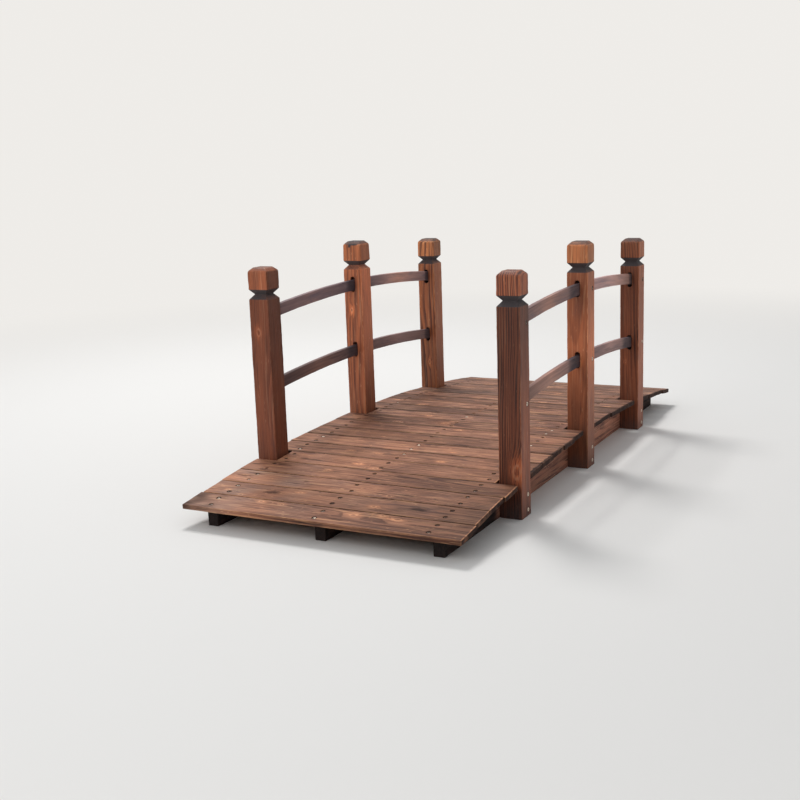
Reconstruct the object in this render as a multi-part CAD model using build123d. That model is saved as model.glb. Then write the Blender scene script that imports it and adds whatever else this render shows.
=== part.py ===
from build123d import *
import math
import os

# Garden footbridge with an arched deck. Units are millimetres and degrees.
# X runs along the bridge from its front end to its back end, Y from the right row of posts
# to the left one, and Z up. The origin is on the ground, under the middle of the bridge.

# Deck boards
board_count = 21
board_width = 70.5
board_gap = 2.0
board_thickness = 11.0
board_length = 650.0
board_edge_chamfer = 1.5

# Deck arch: the top of the deck follows a circle
deck_radius = 5900.0
deck_crown_height = 98.0

# Posts
post_size = 52.0
post_row_distance = 610.0
end_post_height = 523.0
middle_post_extra_height = 26.0
post_edge_radius = 2.5
boards_between_posts = 6
short_board_clearance = 5.0

# Cap at the top of each post: a V groove all round, a block above it and a chamfered top
cap_block_height = 41.0
cap_chamfer_run = 10.0
cap_chamfer_rise = 9.0
groove_depth = 10.5
groove_height = 23.0

# Bearers under the deck
bearer_thickness = 25.0
bearer_end_setback = 26.0

# Arched rails between the posts
rail_height = 28.0
rail_thickness = 12.0
rail_radius = 4000.0
rail_edge_chamfer = 1.5
upper_rail_middle_height = 436.5
lower_rail_middle_height = 265.5

# Slots in the posts for the rails: straight sides with round ends
slot_height = 40.0
slot_side_clearance = 0.5
slot_depth_in_end_post = 35.0
rail_seat_clearance = 0.3
rail_end_clearance = 1.0
slot_cutter_overshoot = 1.0

# Countersinks for the screws in the outer face of each post
screw_head_diameter = 8.4
countersink_depth = 2.4
countersink_bottom_diameter = 4.0
screw_offset_from_post_middle = 11.0
low_screw_heights = (13.5, 47.0)

# Places worked out from the sizes above
half_board_count = board_count // 2
board_pitch_angle = (board_width + board_gap) / deck_radius
deck_circle_height = deck_crown_height - deck_radius
bearer_top_radius = deck_radius - board_thickness
post_row_y = post_row_distance / 2
post_inner_face_y = post_row_y - post_size / 2
outer_bearer_y = post_inner_face_y - bearer_thickness / 2
short_board_length = 2 * (post_inner_face_y - short_board_clearance)
post_spacing = deck_radius * math.sin(boards_between_posts * board_pitch_angle)
rail_end_x = post_spacing - post_size / 2 + slot_depth_in_end_post - rail_end_clearance


def rail_line_height(middle_height, x):
    """Height of a rail's middle line at a distance x from the middle of the bridge."""
    return middle_height - rail_radius + math.sqrt(rail_radius**2 - x**2)


def deck_board(number):
    """One flat cross board, square to the arch. Number 0 is the middle board."""
    is_short = number % boards_between_posts == 0
    length = short_board_length if is_short else board_length
    board = Box(board_width, length, board_thickness)
    board = chamfer(board.edges().filter_by(Axis.Y), board_edge_chamfer)
    angle = number * board_pitch_angle
    middle_radius = deck_radius - board_thickness / 2
    x = middle_radius * math.sin(angle)
    z = deck_circle_height + middle_radius * math.cos(angle)
    return Pos(x, 0, z) * Rot(0, math.degrees(angle), 0) * board


def bearer(y):
    """A plank on edge: flat on the ground, with its upper edge cut to the arch."""
    outermost_angle = (half_board_count + 0.5) * board_pitch_angle
    end_x = deck_radius * math.sin(outermost_angle) - bearer_end_setback
    end_z = deck_circle_height + math.sqrt(bearer_top_radius**2 - end_x**2)
    top_z = deck_circle_height + bearer_top_radius
    outline = Polyline((-end_x, end_z), (-end_x, 0), (end_x, 0), (end_x, end_z))
    arch = ThreePointArc((end_x, end_z), (0, top_z), (-end_x, end_z))
    side = Plane.XZ * make_face([*outline.edges(), arch])
    return Pos(0, y, 0) * extrude(side, bearer_thickness / 2, both=True)


def post_side(height):
    """Half outline of a post from its foot to its top, given as widths from the middle line."""
    half = post_size / 2
    block_top = height - cap_chamfer_rise
    block_bottom = block_top - cap_block_height
    groove_middle = block_bottom - groove_height / 2
    groove_bottom = block_bottom - groove_height
    return [
        (half, 0),
        (half, groove_bottom),
        (half - groove_depth, groove_middle),
        (half, block_bottom),
        (half, block_top),
        (half - cap_chamfer_run, height),
    ]


def plain_post(height):
    """A square post. The same outline is cut both ways, so that groove and chamfer are mitred."""
    right = post_side(height)
    left = [(-x, z) for x, z in reversed(right)]
    outline = make_face(Polyline(*right, *left, close=True))
    along = extrude(Plane.XZ * outline, post_size / 2, both=True)
    across = extrude(Plane.YZ * outline, post_size / 2, both=True)
    eased_prism = extrude(RectangleRounded(post_size, post_size, post_edge_radius), height)
    return along & across & eased_prism


def rail_slot(middle_height, near_x, far_x):
    """The slot for a rail from near_x to far_x, placed so that the rail rests on its round bottom."""
    width = rail_thickness + 2 * slot_side_clearance
    radius = width / 2
    underside = rail_line_height(middle_height, max(abs(near_x), abs(far_x))) - rail_height / 2
    corner_rise = radius - math.sqrt(radius**2 - (rail_thickness / 2) ** 2)
    bottom = underside - corner_rise - rail_seat_clearance
    section = Rot(0, 0, 90) * SlotOverall(slot_height, width)
    slot = extrude(Plane.YZ * section, far_x - near_x)
    return Pos(near_x, 0, bottom + slot_height / 2) * slot


def screw_countersink(x, z, side):
    """A cone cut into the outer face of a post. Side is 1 for the left row and -1 for the right."""
    cone = Cone(countersink_bottom_diameter / 2, screw_head_diameter / 2, countersink_depth)
    depth_middle = post_size / 2 - countersink_depth / 2
    return Pos(x, side * depth_middle, z) * Rot(-side * 90, 0, 0) * cone


def post(position, side):
    """A post with its rail slots and countersinks. Position is -1 front, 0 middle or 1 back."""
    height = end_post_height if position else end_post_height + middle_post_extra_height
    body = plain_post(height)
    middle_x = position * post_spacing
    inner_face = post_spacing - post_size / 2
    for rail_middle_height in (upper_rail_middle_height, lower_rail_middle_height):
        if position == 0:
            slot_reach = post_size / 2 + slot_cutter_overshoot
            slot = rail_slot(rail_middle_height, -slot_reach, slot_reach)
        else:
            slot_mouth = inner_face - slot_cutter_overshoot
            slot = rail_slot(rail_middle_height, slot_mouth, inner_face + slot_depth_in_end_post)
            if position < 0:
                slot = mirror(slot, Plane.YZ)
        body -= Pos(-middle_x, 0, 0) * slot
        screw_x = screw_offset_from_post_middle
        screw_z = rail_line_height(rail_middle_height, middle_x + screw_x)
        body -= screw_countersink(screw_x, screw_z, side)
    for low_height in low_screw_heights:
        body -= screw_countersink(screw_offset_from_post_middle, low_height, side)
    return Pos(middle_x, side * post_row_y, 0) * body


def rail(middle_height, side):
    """An arched rail from one end post, through the middle post, to the other end post."""
    half_angle = math.degrees(math.asin(rail_end_x / (rail_radius + rail_height / 2)))
    section = chamfer(Rectangle(rail_thickness, rail_height).vertices(), rail_edge_chamfer)
    at_top_of_circle = Plane((0, 0, rail_radius), x_dir=(0, 1, 0), z_dir=(1, 0, 0))
    arc = revolve(at_top_of_circle * section, Axis.Y, 2 * half_angle)
    return Pos(0, side * post_row_y, middle_height - rail_radius) * Rot(0, -half_angle, 0) * arc


parts = {}

for index in range(board_count):
    parts[f"deck_board_{index + 1:02d}"] = deck_board(index - half_board_count)

for name, y in (("left", outer_bearer_y), ("middle", 0), ("right", -outer_bearer_y)):
    parts[f"{name}_bearer"] = bearer(y)

for side_name, side in (("left", 1), ("right", -1)):
    for place_name, position in (("front", -1), ("middle", 0), ("back", 1)):
        parts[f"{side_name}_{place_name}_post"] = post(position, side)
    parts[f"{side_name}_upper_rail"] = rail(upper_rail_middle_height, side)
    parts[f"{side_name}_lower_rail"] = rail(lower_rail_middle_height, side)

os.makedirs("parts", exist_ok=True)
for name, solid in parts.items():
    export_step(solid, f"parts/{name}.step")
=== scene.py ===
"""A low arched garden footbridge of stained wood, built round its measured frame.

The file is laid out as an add-on and is run as a script. X runs along the bridge from its front end
to its back end, Y across it towards the left row of posts, and Z up. Lengths are in metres.
Every piece is a block whose surface is worked out with numpy in its own (u, v, w): w is the block's
long axis, and u and v lie across it.
"""

import math

import bpy
import numpy as np
from mathutils import Matrix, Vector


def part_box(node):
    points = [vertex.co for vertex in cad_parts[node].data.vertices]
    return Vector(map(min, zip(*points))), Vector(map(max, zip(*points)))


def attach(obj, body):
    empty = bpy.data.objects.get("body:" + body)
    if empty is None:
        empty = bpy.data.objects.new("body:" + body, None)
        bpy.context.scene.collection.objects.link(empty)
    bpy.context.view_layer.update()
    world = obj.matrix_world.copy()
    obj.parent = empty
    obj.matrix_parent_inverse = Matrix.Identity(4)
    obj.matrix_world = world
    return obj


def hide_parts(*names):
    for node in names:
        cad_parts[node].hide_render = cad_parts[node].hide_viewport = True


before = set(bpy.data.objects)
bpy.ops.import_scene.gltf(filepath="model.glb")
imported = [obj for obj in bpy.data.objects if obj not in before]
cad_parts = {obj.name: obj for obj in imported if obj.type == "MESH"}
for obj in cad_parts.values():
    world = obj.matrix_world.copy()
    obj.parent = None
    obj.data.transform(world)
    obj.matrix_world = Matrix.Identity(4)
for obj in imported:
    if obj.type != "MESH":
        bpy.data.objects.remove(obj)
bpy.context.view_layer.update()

bl_info = {
    "name": "Garden Footbridge",
    "version": (1, 0, 0),
    "blender": (4, 5, 0),
    "location": "3D View > Sidebar > Footbridge",
    "description": "Builds a stained wooden garden footbridge with worn boards, grooved posts and bent rails",
    "category": "Add Mesh",
}

BODY = "root"

BOARD_NODES = [f"deck_board_{number:02d}" for number in range(1, 22)]
BEARER_NODES = ["left_bearer", "middle_bearer", "right_bearer"]
POST_NODES = [f"{side}_{place}_post" for side in ("left", "right") for place in ("front", "middle", "back")]
RAIL_NODES = [f"{side}_{height}_rail" for side in ("left", "right") for height in ("upper", "lower")]

# How each block's (u, v, w) axes lie in (x, y, z)
BOARD_AXES = (2, 0, 1)
POST_AXES = (0, 1, 2)
RAIL_AXES = (1, 2, 0)


def length_property(name, description, default, **limits):
    """A length in metres that the user can change."""
    return bpy.props.FloatProperty(
        name=name, description=description, default=default, unit="LENGTH", precision=4, **limits)


class FootbridgeSizes(bpy.types.PropertyGroup):
    """Sizes of the worn surfaces and of the small fasteners"""

    board_rounding: length_property(
        "Board Rounding", "Radius of the worn edges of a deck board", 0.0013, min=0.0005, max=0.005)
    board_cup: length_property(
        "Board Cup", "How far the edges of a deck board stand above its middle", 0.0006, min=0.0, max=0.003)
    board_scatter: length_property(
        "Board End Scatter", "How unevenly the ends of the deck boards line up", 0.0028, min=0.0, max=0.004)
    screw_rows: bpy.props.FloatVectorProperty(
        name="Screw Rows", description="Where the rows of deck screws run, measured across the bridge",
        default=(-0.251, 0.005, 0.265), size=3, unit="LENGTH")
    screw_spread: length_property(
        "Screw Spread", "Distance of each deck screw from the middle line of its board",
        0.0172, min=0.005, max=0.03)
    screw_hole_radius: length_property(
        "Screw Hole Radius", "Radius of the sunk hole over each screw", 0.0052, min=0.002, max=0.006)
    screw_head_radius: length_property(
        "Screw Head Radius", "Radius of each screw head", 0.0037, min=0.002, max=0.005)
    screw_sink: length_property(
        "Screw Sink", "Depth of each deck screw head below the face of its board", 0.0017, min=0.0, max=0.003)
    post_rounding: length_property(
        "Post Rounding", "Radius of the worn upright edges of a post", 0.0021, min=0.001, max=0.008)
    cap_block: length_property("Cap Block", "Height of the square block above the groove of a post", 0.041)
    cap_chamfer_run: length_property("Cap Chamfer Run", "How far the sloping top of a post goes in", 0.010)
    cap_chamfer_rise: length_property("Cap Chamfer Rise", "How far the sloping top of a post goes up", 0.009)
    groove_depth: length_property("Groove Depth", "Depth of the groove round a post", 0.0105)
    groove_height: length_property("Groove Height", "Height of the groove round a post", 0.023)
    slot_height: length_property("Slot Height", "Height of the slot that takes a rail", 0.040)
    slot_side_clearance: length_property(
        "Slot Side Clearance", "Room between a rail and each side of its slot", 0.0005)
    slot_depth: length_property("Slot Depth", "Depth of the slot in an end post", 0.035)
    post_screw_offset: length_property(
        "Post Screw Offset", "Distance of the post screws from the middle of the post", 0.011)
    rail_radius: length_property("Rail Radius", "Radius of the bend of a rail", 4.0)
    rail_rounding: length_property("Rail Rounding", "Radius of the worn edges of a rail", 0.0022)
    bearer_rounding: length_property("Bearer Rounding", "Radius of the sawn edges of a bearer", 0.0015)


def colour_property(name, description, default):
    """A colour that the user can pick, in linear values."""
    return bpy.props.FloatVectorProperty(
        name=name, description=description, default=default, size=3, min=0.0, max=1.0, subtype="COLOR")


class FootbridgeColours(bpy.types.PropertyGroup):
    """Colours of the wood, its stains and painted shade, the steel and the studio"""

    deck_light: colour_property(
        "Deck Light", "Soft wood between the rings of a deck board", (0.372, 0.1675, 0.096))
    deck_dark: colour_property(
        "Deck Dark", "Hard wood of the rings of a deck board", (0.140, 0.056, 0.035))
    deck_grey: colour_property("Deck Grey", "Weathered patches of a deck board", (0.118, 0.058, 0.047))
    deck_worn: colour_property("Deck Worn", "Worn edges and streaks of a deck board", (0.56, 0.285, 0.145))
    # Deck End paints shade into the gaps and on the right ends of the far boards, as well as stain on the end
    # grain
    deck_end: colour_property(
        "Deck End", "End grain and gaps of the deck, full of stain", (0.034, 0.0178, 0.0152))
    post_light: colour_property("Post Light", "Soft wood between the rings of a post", (0.33, 0.094, 0.041))
    post_dark: colour_property("Post Dark", "Hard wood of the rings of a post", (0.075, 0.022, 0.0145))
    post_grey: colour_property("Post Grey", "Weathered patches of a post", (0.12, 0.052, 0.045))
    post_worn: colour_property("Post Worn", "Worn edges of a post", (0.42, 0.19, 0.105))
    # Post Groove is real stain in the grooves and painted shade in the slots, the screw holes and at the foot
    post_groove: colour_property(
        "Post Groove", "Grooves and slots, scorched and thick with stain", (0.058, 0.050, 0.053))
    rail_light: colour_property("Rail Light", "Soft wood between the rings of a rail", (0.292, 0.152, 0.114))
    rail_dark: colour_property("Rail Dark", "Hard wood of the rings of a rail", (0.115, 0.064, 0.058))
    rail_grey: colour_property("Rail Grey", "Weathered patches of a rail", (0.105, 0.080, 0.089))
    rail_worn: colour_property("Rail Worn", "Worn edges of a rail", (0.34, 0.22, 0.18))
    # Rail End paints the shade on a rail beside the posts
    rail_end: colour_property("Rail End", "Stain left on a rail beside the posts", (0.036, 0.031, 0.039))
    bearer_light: colour_property(
        "Bearer Light", "Soft wood between the rings of a bearer", (0.30, 0.135, 0.090))
    bearer_dark: colour_property("Bearer Dark", "Hard wood of the rings of a bearer", (0.080, 0.035, 0.027))
    bearer_grey: colour_property("Bearer Grey", "Weathered patches of a bearer", (0.085, 0.052, 0.046))
    bearer_worn: colour_property("Bearer Worn", "Worn edges of a bearer", (0.42, 0.25, 0.17))
    # Bearer End is the stain of the end grain together with painted shade under the deck and beyond the posts
    bearer_end: colour_property(
        "Bearer End", "End grain of a bearer, full of stain", (0.0062, 0.0050, 0.0052))
    screw_steel: colour_property("Screw Steel", "Zinc plate on the screw heads", (0.86, 0.71, 0.57))
    floor: colour_property("Floor", "Studio floor", (0.80, 0.785, 0.76))
    backdrop: colour_property("Backdrop", "Glow of the studio's backdrop", (0.86, 0.84, 0.81))


# How close to a rounding the last place on the flat lies
FLAT_GUARD = 0.0005


def spaced(start, stop, step):
    """Even places from start to stop, at most step apart."""
    return np.linspace(start, stop, max(2, math.ceil(abs(stop - start) / step - 1e-9) + 1))


def eased_places(half, rounding, step, arc_count=3):
    """Places from -half to half. They are even on the flat, with one more close to its end, which
    keeps the flat flat to the eye. Beyond it they lie at rounding * tan(angle), which the rounding
    turns into even steps of angle up to 45 degrees."""
    flat = half - rounding
    arc = flat + rounding * np.tan(np.linspace(0, math.pi / 4, arc_count + 1))
    even = spaced(-flat + FLAT_GUARD, flat - FLAT_GUARD, step)
    return np.concatenate([-arc[::-1], even, arc])


def round_edges(points, half, rounding):
    """Round the edges of a sharp block. Each point goes to the nearest point of a smaller inner
    block, and from there outwards by the rounding, along the line that it came by."""
    inner = np.clip(points, rounding - half, half - rounding)
    outwards = points - inner
    length = np.linalg.norm(outwards, axis=-1, keepdims=True)
    return inner + outwards * rounding / np.maximum(length, 1e-9)


# The noise patterns of the boards, whose seeds lie 30 apart, and the first seed of every other kind of
# randomness. The seed of a piece is the first one plus the piece's number in its list.
BOARD_PATTERNS = (
    "rounding", "fine_rounding", "sag", "narrowing", "split_line", "split", "tone", "end_stain",
    "seam_stain", "smudges", "crescents", "end_smudges", "seam_shade", "soiling", "margins", "coolness",
    "lit_strip", "front_smudges", "corner", "broken_tone", "marks", "pale_flecks",
)
SEEDS = {f"board_{pattern}": 900 + 30 * place for place, pattern in enumerate(BOARD_PATTERNS)}
SEEDS.update({
    "board": 100, "board_screws": 500, "post_rounding": 40, "post_fine_rounding": 60, "post_hollows": 80,
    "post_fine_hollows": 84, "post_marks": 86, "rail": 300, "rail_rounding": 200,
    "rail_fine_rounding": 210, "rail_thinning": 220, "bearer": 430, "bearer_rounding": 400,
    "bearer_fine_rounding": 410, "bearer_thinning": 420, "deck_screw_turns": 700,
    "post_screw_turns": 701, "deck_screw_ages": 702, "deck_screw_depths": 703,
})

# Factors of a noise that doesn't change through a piece, and of one that changes only along it
ON_FACE = (0, 1, 1)
ALONG = (0, 0, 1)


def seeded(kind, number=0):
    """The random numbers of one kind for one piece."""
    return np.random.default_rng(SEEDS[kind] + number)


def ripple(points, kind, number, wavelength, factors=(1, 1, 1)):
    """Smooth noise between about -1 and 1: the sum of seven sine waves of about one wavelength, each
    with a seeded direction and phase, divided by the root of half their number. The points are
    multiplied by the factors first."""
    rng = seeded(kind, number)
    count = 7
    directions = rng.normal(size=(count, points.shape[-1]))
    directions /= np.linalg.norm(directions, axis=1, keepdims=True)
    numbers = 2 * math.pi / (wavelength * rng.uniform(0.6, 1.7, count))
    phases = rng.uniform(0, 2 * math.pi, count)
    waves = np.sin((points * factors) @ (directions * numbers[:, None]).T + phases)
    return waves.sum(axis=-1) / math.sqrt(count / 2) / 2


def ease(value, low, high):
    """A smooth step: 0 at low, 1 at high, and 3t^2 - 2t^3 between, where t runs from 0 to 1."""
    t = np.clip((value - low) / (high - low), 0, 1)
    return t * t * (3 - 2 * t)


def wander(rounding, points, kind, number, coarse, fine):
    """A rounding that wanders along a piece: multiplied by one plus a coarse and a fine noise, each
    given as its depth and its wavelength."""
    coarse_noise = coarse[0] * ripple(points, f"{kind}_rounding", number, coarse[1])
    fine_noise = fine[0] * ripple(points, f"{kind}_fine_rounding", number, fine[1])
    return rounding * (1 + coarse_noise + fine_noise)


def worn_marks(points, marks, kind, number):
    """Dark marks on a face, as the highest of their stains. A mark (v, w, half width across, half
    length along, strength) is an ellipse whose edge is frayed by noise."""
    frayed = 0.22 * ripple(points, kind, number, 0.014)
    stain = np.zeros(len(points))
    for v, w, half_width, half_length, strength in marks:
        distance = np.hypot((points[:, 1] - v) / half_width, (points[:, 2] - w) / half_length)
        stain = np.maximum(stain, strength * ease(-distance - frayed, -1.3, -0.4))
    return stain


def ray_outline(directions, half_width, half_height):
    """Where rays from the middle meet a slot with straight sides and round ends. A ray (a, b) meets
    the side at half_width / a, or else the end circle, whose middle is straight along at b."""
    unit = directions / np.linalg.norm(directions, axis=-1, keepdims=True)
    a, b = np.abs(unit[..., 0]), np.abs(unit[..., 1])
    centre = half_height - half_width
    side = half_width / np.maximum(a, 1e-9)
    root = np.sqrt(np.maximum(half_width**2 - (centre * a) ** 2, 0))
    end = centre * b + root
    reach = np.where(side * b <= centre, side, end)
    return unit * reach[..., None]


class Block:
    """The closed surface of a block, as rings of points round its long axis, one ring a station,
    with a grid across each end. Openings leave out cells of the rings and get a lining of their own."""

    def __init__(self, u_places, v_places, w_places):
        ring = np.concatenate([
            np.column_stack([u_places[:-1], np.full(len(u_places) - 1, v_places[0])]),
            np.column_stack([np.full(len(v_places) - 1, u_places[-1]), v_places[:-1]]),
            np.column_stack([u_places[:0:-1], np.full(len(u_places) - 1, v_places[-1])]),
            np.column_stack([np.full(len(v_places) - 1, u_places[0]), v_places[:0:-1]]),
        ])
        stations, around = len(w_places), len(ring)
        sides = np.empty((stations, around, 3))
        sides[..., :2] = ring
        sides[..., 2] = w_places[:, None]
        self.u_places, self.v_places, self.w_places = u_places, v_places, w_places
        self.ring_index = np.arange(stations * around).reshape(stations, around)
        self.points = sides.reshape(-1, 3)
        self.quads = []
        self.is_open = np.zeros((stations - 1, around), bool)
        for station in (0, -1):
            self._close_end(station)

    def _close_end(self, station):
        """Close one end with a grid of u by v places, whose border is the end ring."""
        u_count, v_count = len(self.u_places), len(self.v_places)
        u, v = np.meshgrid(self.u_places[1:-1], self.v_places[1:-1], indexing="ij")
        inner = np.stack([u, v, np.full_like(u, self.w_places[station])], axis=-1)
        grid = np.empty((u_count, v_count), int)
        grid[1:-1, 1:-1] = self._add(inner)
        ring = self.ring_index[station]
        corners = np.cumsum([0, u_count - 1, v_count - 1, u_count - 1])
        grid[:-1, 0] = ring[corners[0]:corners[1]]
        grid[-1, :-1] = ring[corners[1]:corners[2]]
        grid[:0:-1, -1] = ring[corners[2]:corners[3]]
        grid[0, :0:-1] = ring[corners[3]:]
        if station != 0:
            grid = grid.T
        self.quads.append(grid_quads(grid))

    def _add(self, points):
        """Add points, and give back their numbers in the same layout."""
        start = len(self.points)
        self.points = np.concatenate([self.points, points.reshape(-1, 3)])
        return start + np.arange(points.size // 3).reshape(points.shape[:-1])

    def side_column(self, side, place):
        """Number of the ring column at a place on side 0 (v low), 1 (u high), 2 (v high) or 3 (u low)."""
        u_count, v_count = len(self.u_places) - 1, len(self.v_places) - 1
        starts = np.cumsum([0, u_count, v_count, u_count])
        places = (self.u_places, self.v_places, self.u_places[::-1], self.v_places[::-1])[side]
        return starts[side] + int(np.argmin(np.abs(places - place)))

    def open_cells(self, side, a_range, w_range):
        """Leave out the cells between two places on a side and two stations. Gives the numbers of the
        border's points, anticlockwise from outside and starting low, and the count of columns."""
        first, last = sorted(self.side_column(side, place) for place in a_range)
        low, high = (int(np.argmin(np.abs(self.w_places - place))) for place in w_range)
        self.is_open[low:high, first:last] = True
        index = self.ring_index
        border = np.concatenate([
            index[low, first:last], index[low:high, last],
            index[high, last:first:-1], index[high:low:-1, first],
        ])
        return border, last - first

    def line(self, border, rings):
        """Add quads from the border through rings of points, each as long as the border."""
        indices = np.concatenate([border[None], self._add(rings)])
        self.bridge(indices)
        return indices[-1]

    def bridge(self, indices):
        """Add quads between loops of point numbers, each loop closed on itself."""
        closed = np.concatenate([indices, indices[:, :1]], axis=1)
        self.quads.append(grid_quads(closed))

    def cap(self, loop, middle):
        """Close a loop of an even count of points with quads that meet at a middle point."""
        centre = self._add(np.asarray(middle, float)[None])[0]
        self.quads.append(fan_quads(loop, centre))

    def all_quads(self):
        """Every quad of the block, with the open cells left out."""
        wrapped = np.concatenate([self.ring_index, self.ring_index[:, :1]], axis=1)
        sides = grid_quads(wrapped)[~self.is_open.ravel()]
        return np.concatenate([sides, *self.quads])


def rounded_block(half, rounding, steps, more_stations=()):
    """A block of the given half sizes with places for its rounded edges, at most steps apart in between,
    and with more stations along it where they are asked for."""
    u_places, v_places, w_places = (eased_places(size, rounding, step) for size, step in zip(half, steps))
    return Block(u_places, v_places, np.sort(np.concatenate([w_places, more_stations])))


def grid_quads(grid):
    """The quads of a grid of point numbers. Rows run along w or u, and columns round or along v."""
    corners = grid[:-1, :-1], grid[:-1, 1:], grid[1:, 1:], grid[1:, :-1]
    return np.stack([c.ravel() for c in corners], axis=1)


def fan_quads(loop, centre):
    """Quads that fill a loop of an even count of points, two steps of the loop each, round a centre."""
    middle = np.full(len(loop), centre)
    return np.column_stack([loop, np.roll(loop, -1), np.roll(loop, -2), middle])[::2]


def edge_clearance(points, half):
    """Distance of each surface point from the nearest edge of its block: the second smallest of its
    three distances from the block's faces. The half sizes may differ from point to point."""
    return np.sort(np.abs(half - np.abs(points)), axis=-1)[..., 1]


def place_points(points, axes, turn=0.0, centre=(0.0, 0.0, 0.0)):
    """Take points from (u, v, w) to (x, y, z), turn them about Y so that positive tips +X down, and
    move them to their centre."""
    placed = np.empty_like(points)
    placed[:, list(axes)] = points
    x, z = placed[:, 0].copy(), placed[:, 2].copy()
    placed[:, 0] = x * math.cos(turn) + z * math.sin(turn)
    placed[:, 2] = z * math.cos(turn) - x * math.sin(turn)
    return placed + np.asarray(centre)


def add_object(name, data):
    """A new object in the scene."""
    added = bpy.data.objects.new(name, data)
    bpy.context.scene.collection.objects.link(added)
    return added


def make_piece(name, points, quads, layers, material, nodes):
    """Make one mesh object at the origin from points and quads, with its named layers of values, its
    material and the frame nodes that it stands for."""
    mesh = bpy.data.meshes.new(name)
    mesh.vertices.add(len(points))
    mesh.vertices.foreach_set("co", points.astype(np.float32).ravel())
    mesh.loops.add(quads.size)
    mesh.loops.foreach_set("vertex_index", quads.astype(np.int32).ravel())
    mesh.polygons.add(len(quads))
    mesh.polygons.foreach_set("loop_start", np.arange(0, quads.size, 4, dtype=np.int32))
    mesh.polygons.foreach_set("use_smooth", np.ones(len(quads), bool))
    mesh.update(calc_edges=True)
    mesh.validate()
    for layer, values in layers.items():
        kind, key = ("FLOAT", "value") if values.ndim == 1 else ("FLOAT_VECTOR", "vector")
        attribute = mesh.attributes.new(layer, kind, "POINT")
        attribute.data.foreach_set(key, values.astype(np.float32).ravel())
    mesh.materials.append(material)
    piece = add_object(name, mesh)
    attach(piece, BODY)
    if nodes:
        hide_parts(*nodes)
    return piece


# The first log of each kind of piece, how far apart two logs lie, and the knot place of a point that
# has no knot
FIRST_LOGS = {"board": 1, "post": 40, "rail": 60, "bearer": 70}
LOG_DISTANCE = 3.7
NO_KNOT = (50.0, 50.0, 0.001)

# Distances from a knot count this much along the grain. Round a knot the wood is brighter by its radius
# times KNOT_GLOW, from the first of these distances inwards, and in full at the second, in knot radii.
KNOT_SQUASH = 0.55
KNOT_GLOW = 110
GLOW_REACH = (3.2, 0.9)


def wood_layers(points, log, pith, clearance, stain, lean=(0.0, 0.0), tone=1.0, tint=0.0, grain=1.0,
                knots=(), spread=1.0):
    """The layers that the wood materials read. log_place is the point's place in the tree: u and v
    from the pith, which leans along the grain, and w along the grain, far apart for each log.
    knot_place is its distance from the nearest knot along the grain and across it, in knot radii,
    with the knot's radius. A knot (v, w, radius) runs straight through the block along u, but where
    spread is high it lies far off. finish holds the brightness, which carries painted light and shade
    as well as the wood's own tone, the share of the tint and the strength of the grain. stain holds
    real stain and painted shade alike."""
    along = points[:, 2]
    log_place = np.column_stack([
        points[:, 0] - pith[0] - lean[0] * along,
        points[:, 1] - pith[1] - lean[1] * along,
        along + LOG_DISTANCE * log,
    ])
    count = len(points)
    knot_place = np.tile(NO_KNOT, (count, 1))
    nearest = np.full(count, np.inf)
    for knot_v, knot_w, radius in knots:
        aside, above = (points[:, 1] - knot_v) * spread, (along - knot_w) * spread
        offset = np.column_stack([above / radius, aside / radius, np.full(count, radius)])
        distance = np.hypot(offset[:, 0], offset[:, 1])
        closer = distance < nearest
        knot_place[closer] = offset[closer]
        nearest = np.minimum(nearest, distance)
    from_knot = np.hypot(KNOT_SQUASH * knot_place[:, 0], knot_place[:, 1])
    glow = 1 + KNOT_GLOW * knot_place[:, 2] * ease(-from_knot, -GLOW_REACH[0], -GLOW_REACH[1])
    finish = [np.broadcast_to(value, count) for value in (tone * glow, tint, grain)]
    return {
        "log_place": log_place,
        "knot_place": knot_place,
        "edge_clearance": clearance,
        "stain": stain,
        "finish": np.column_stack(finish),
    }


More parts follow.
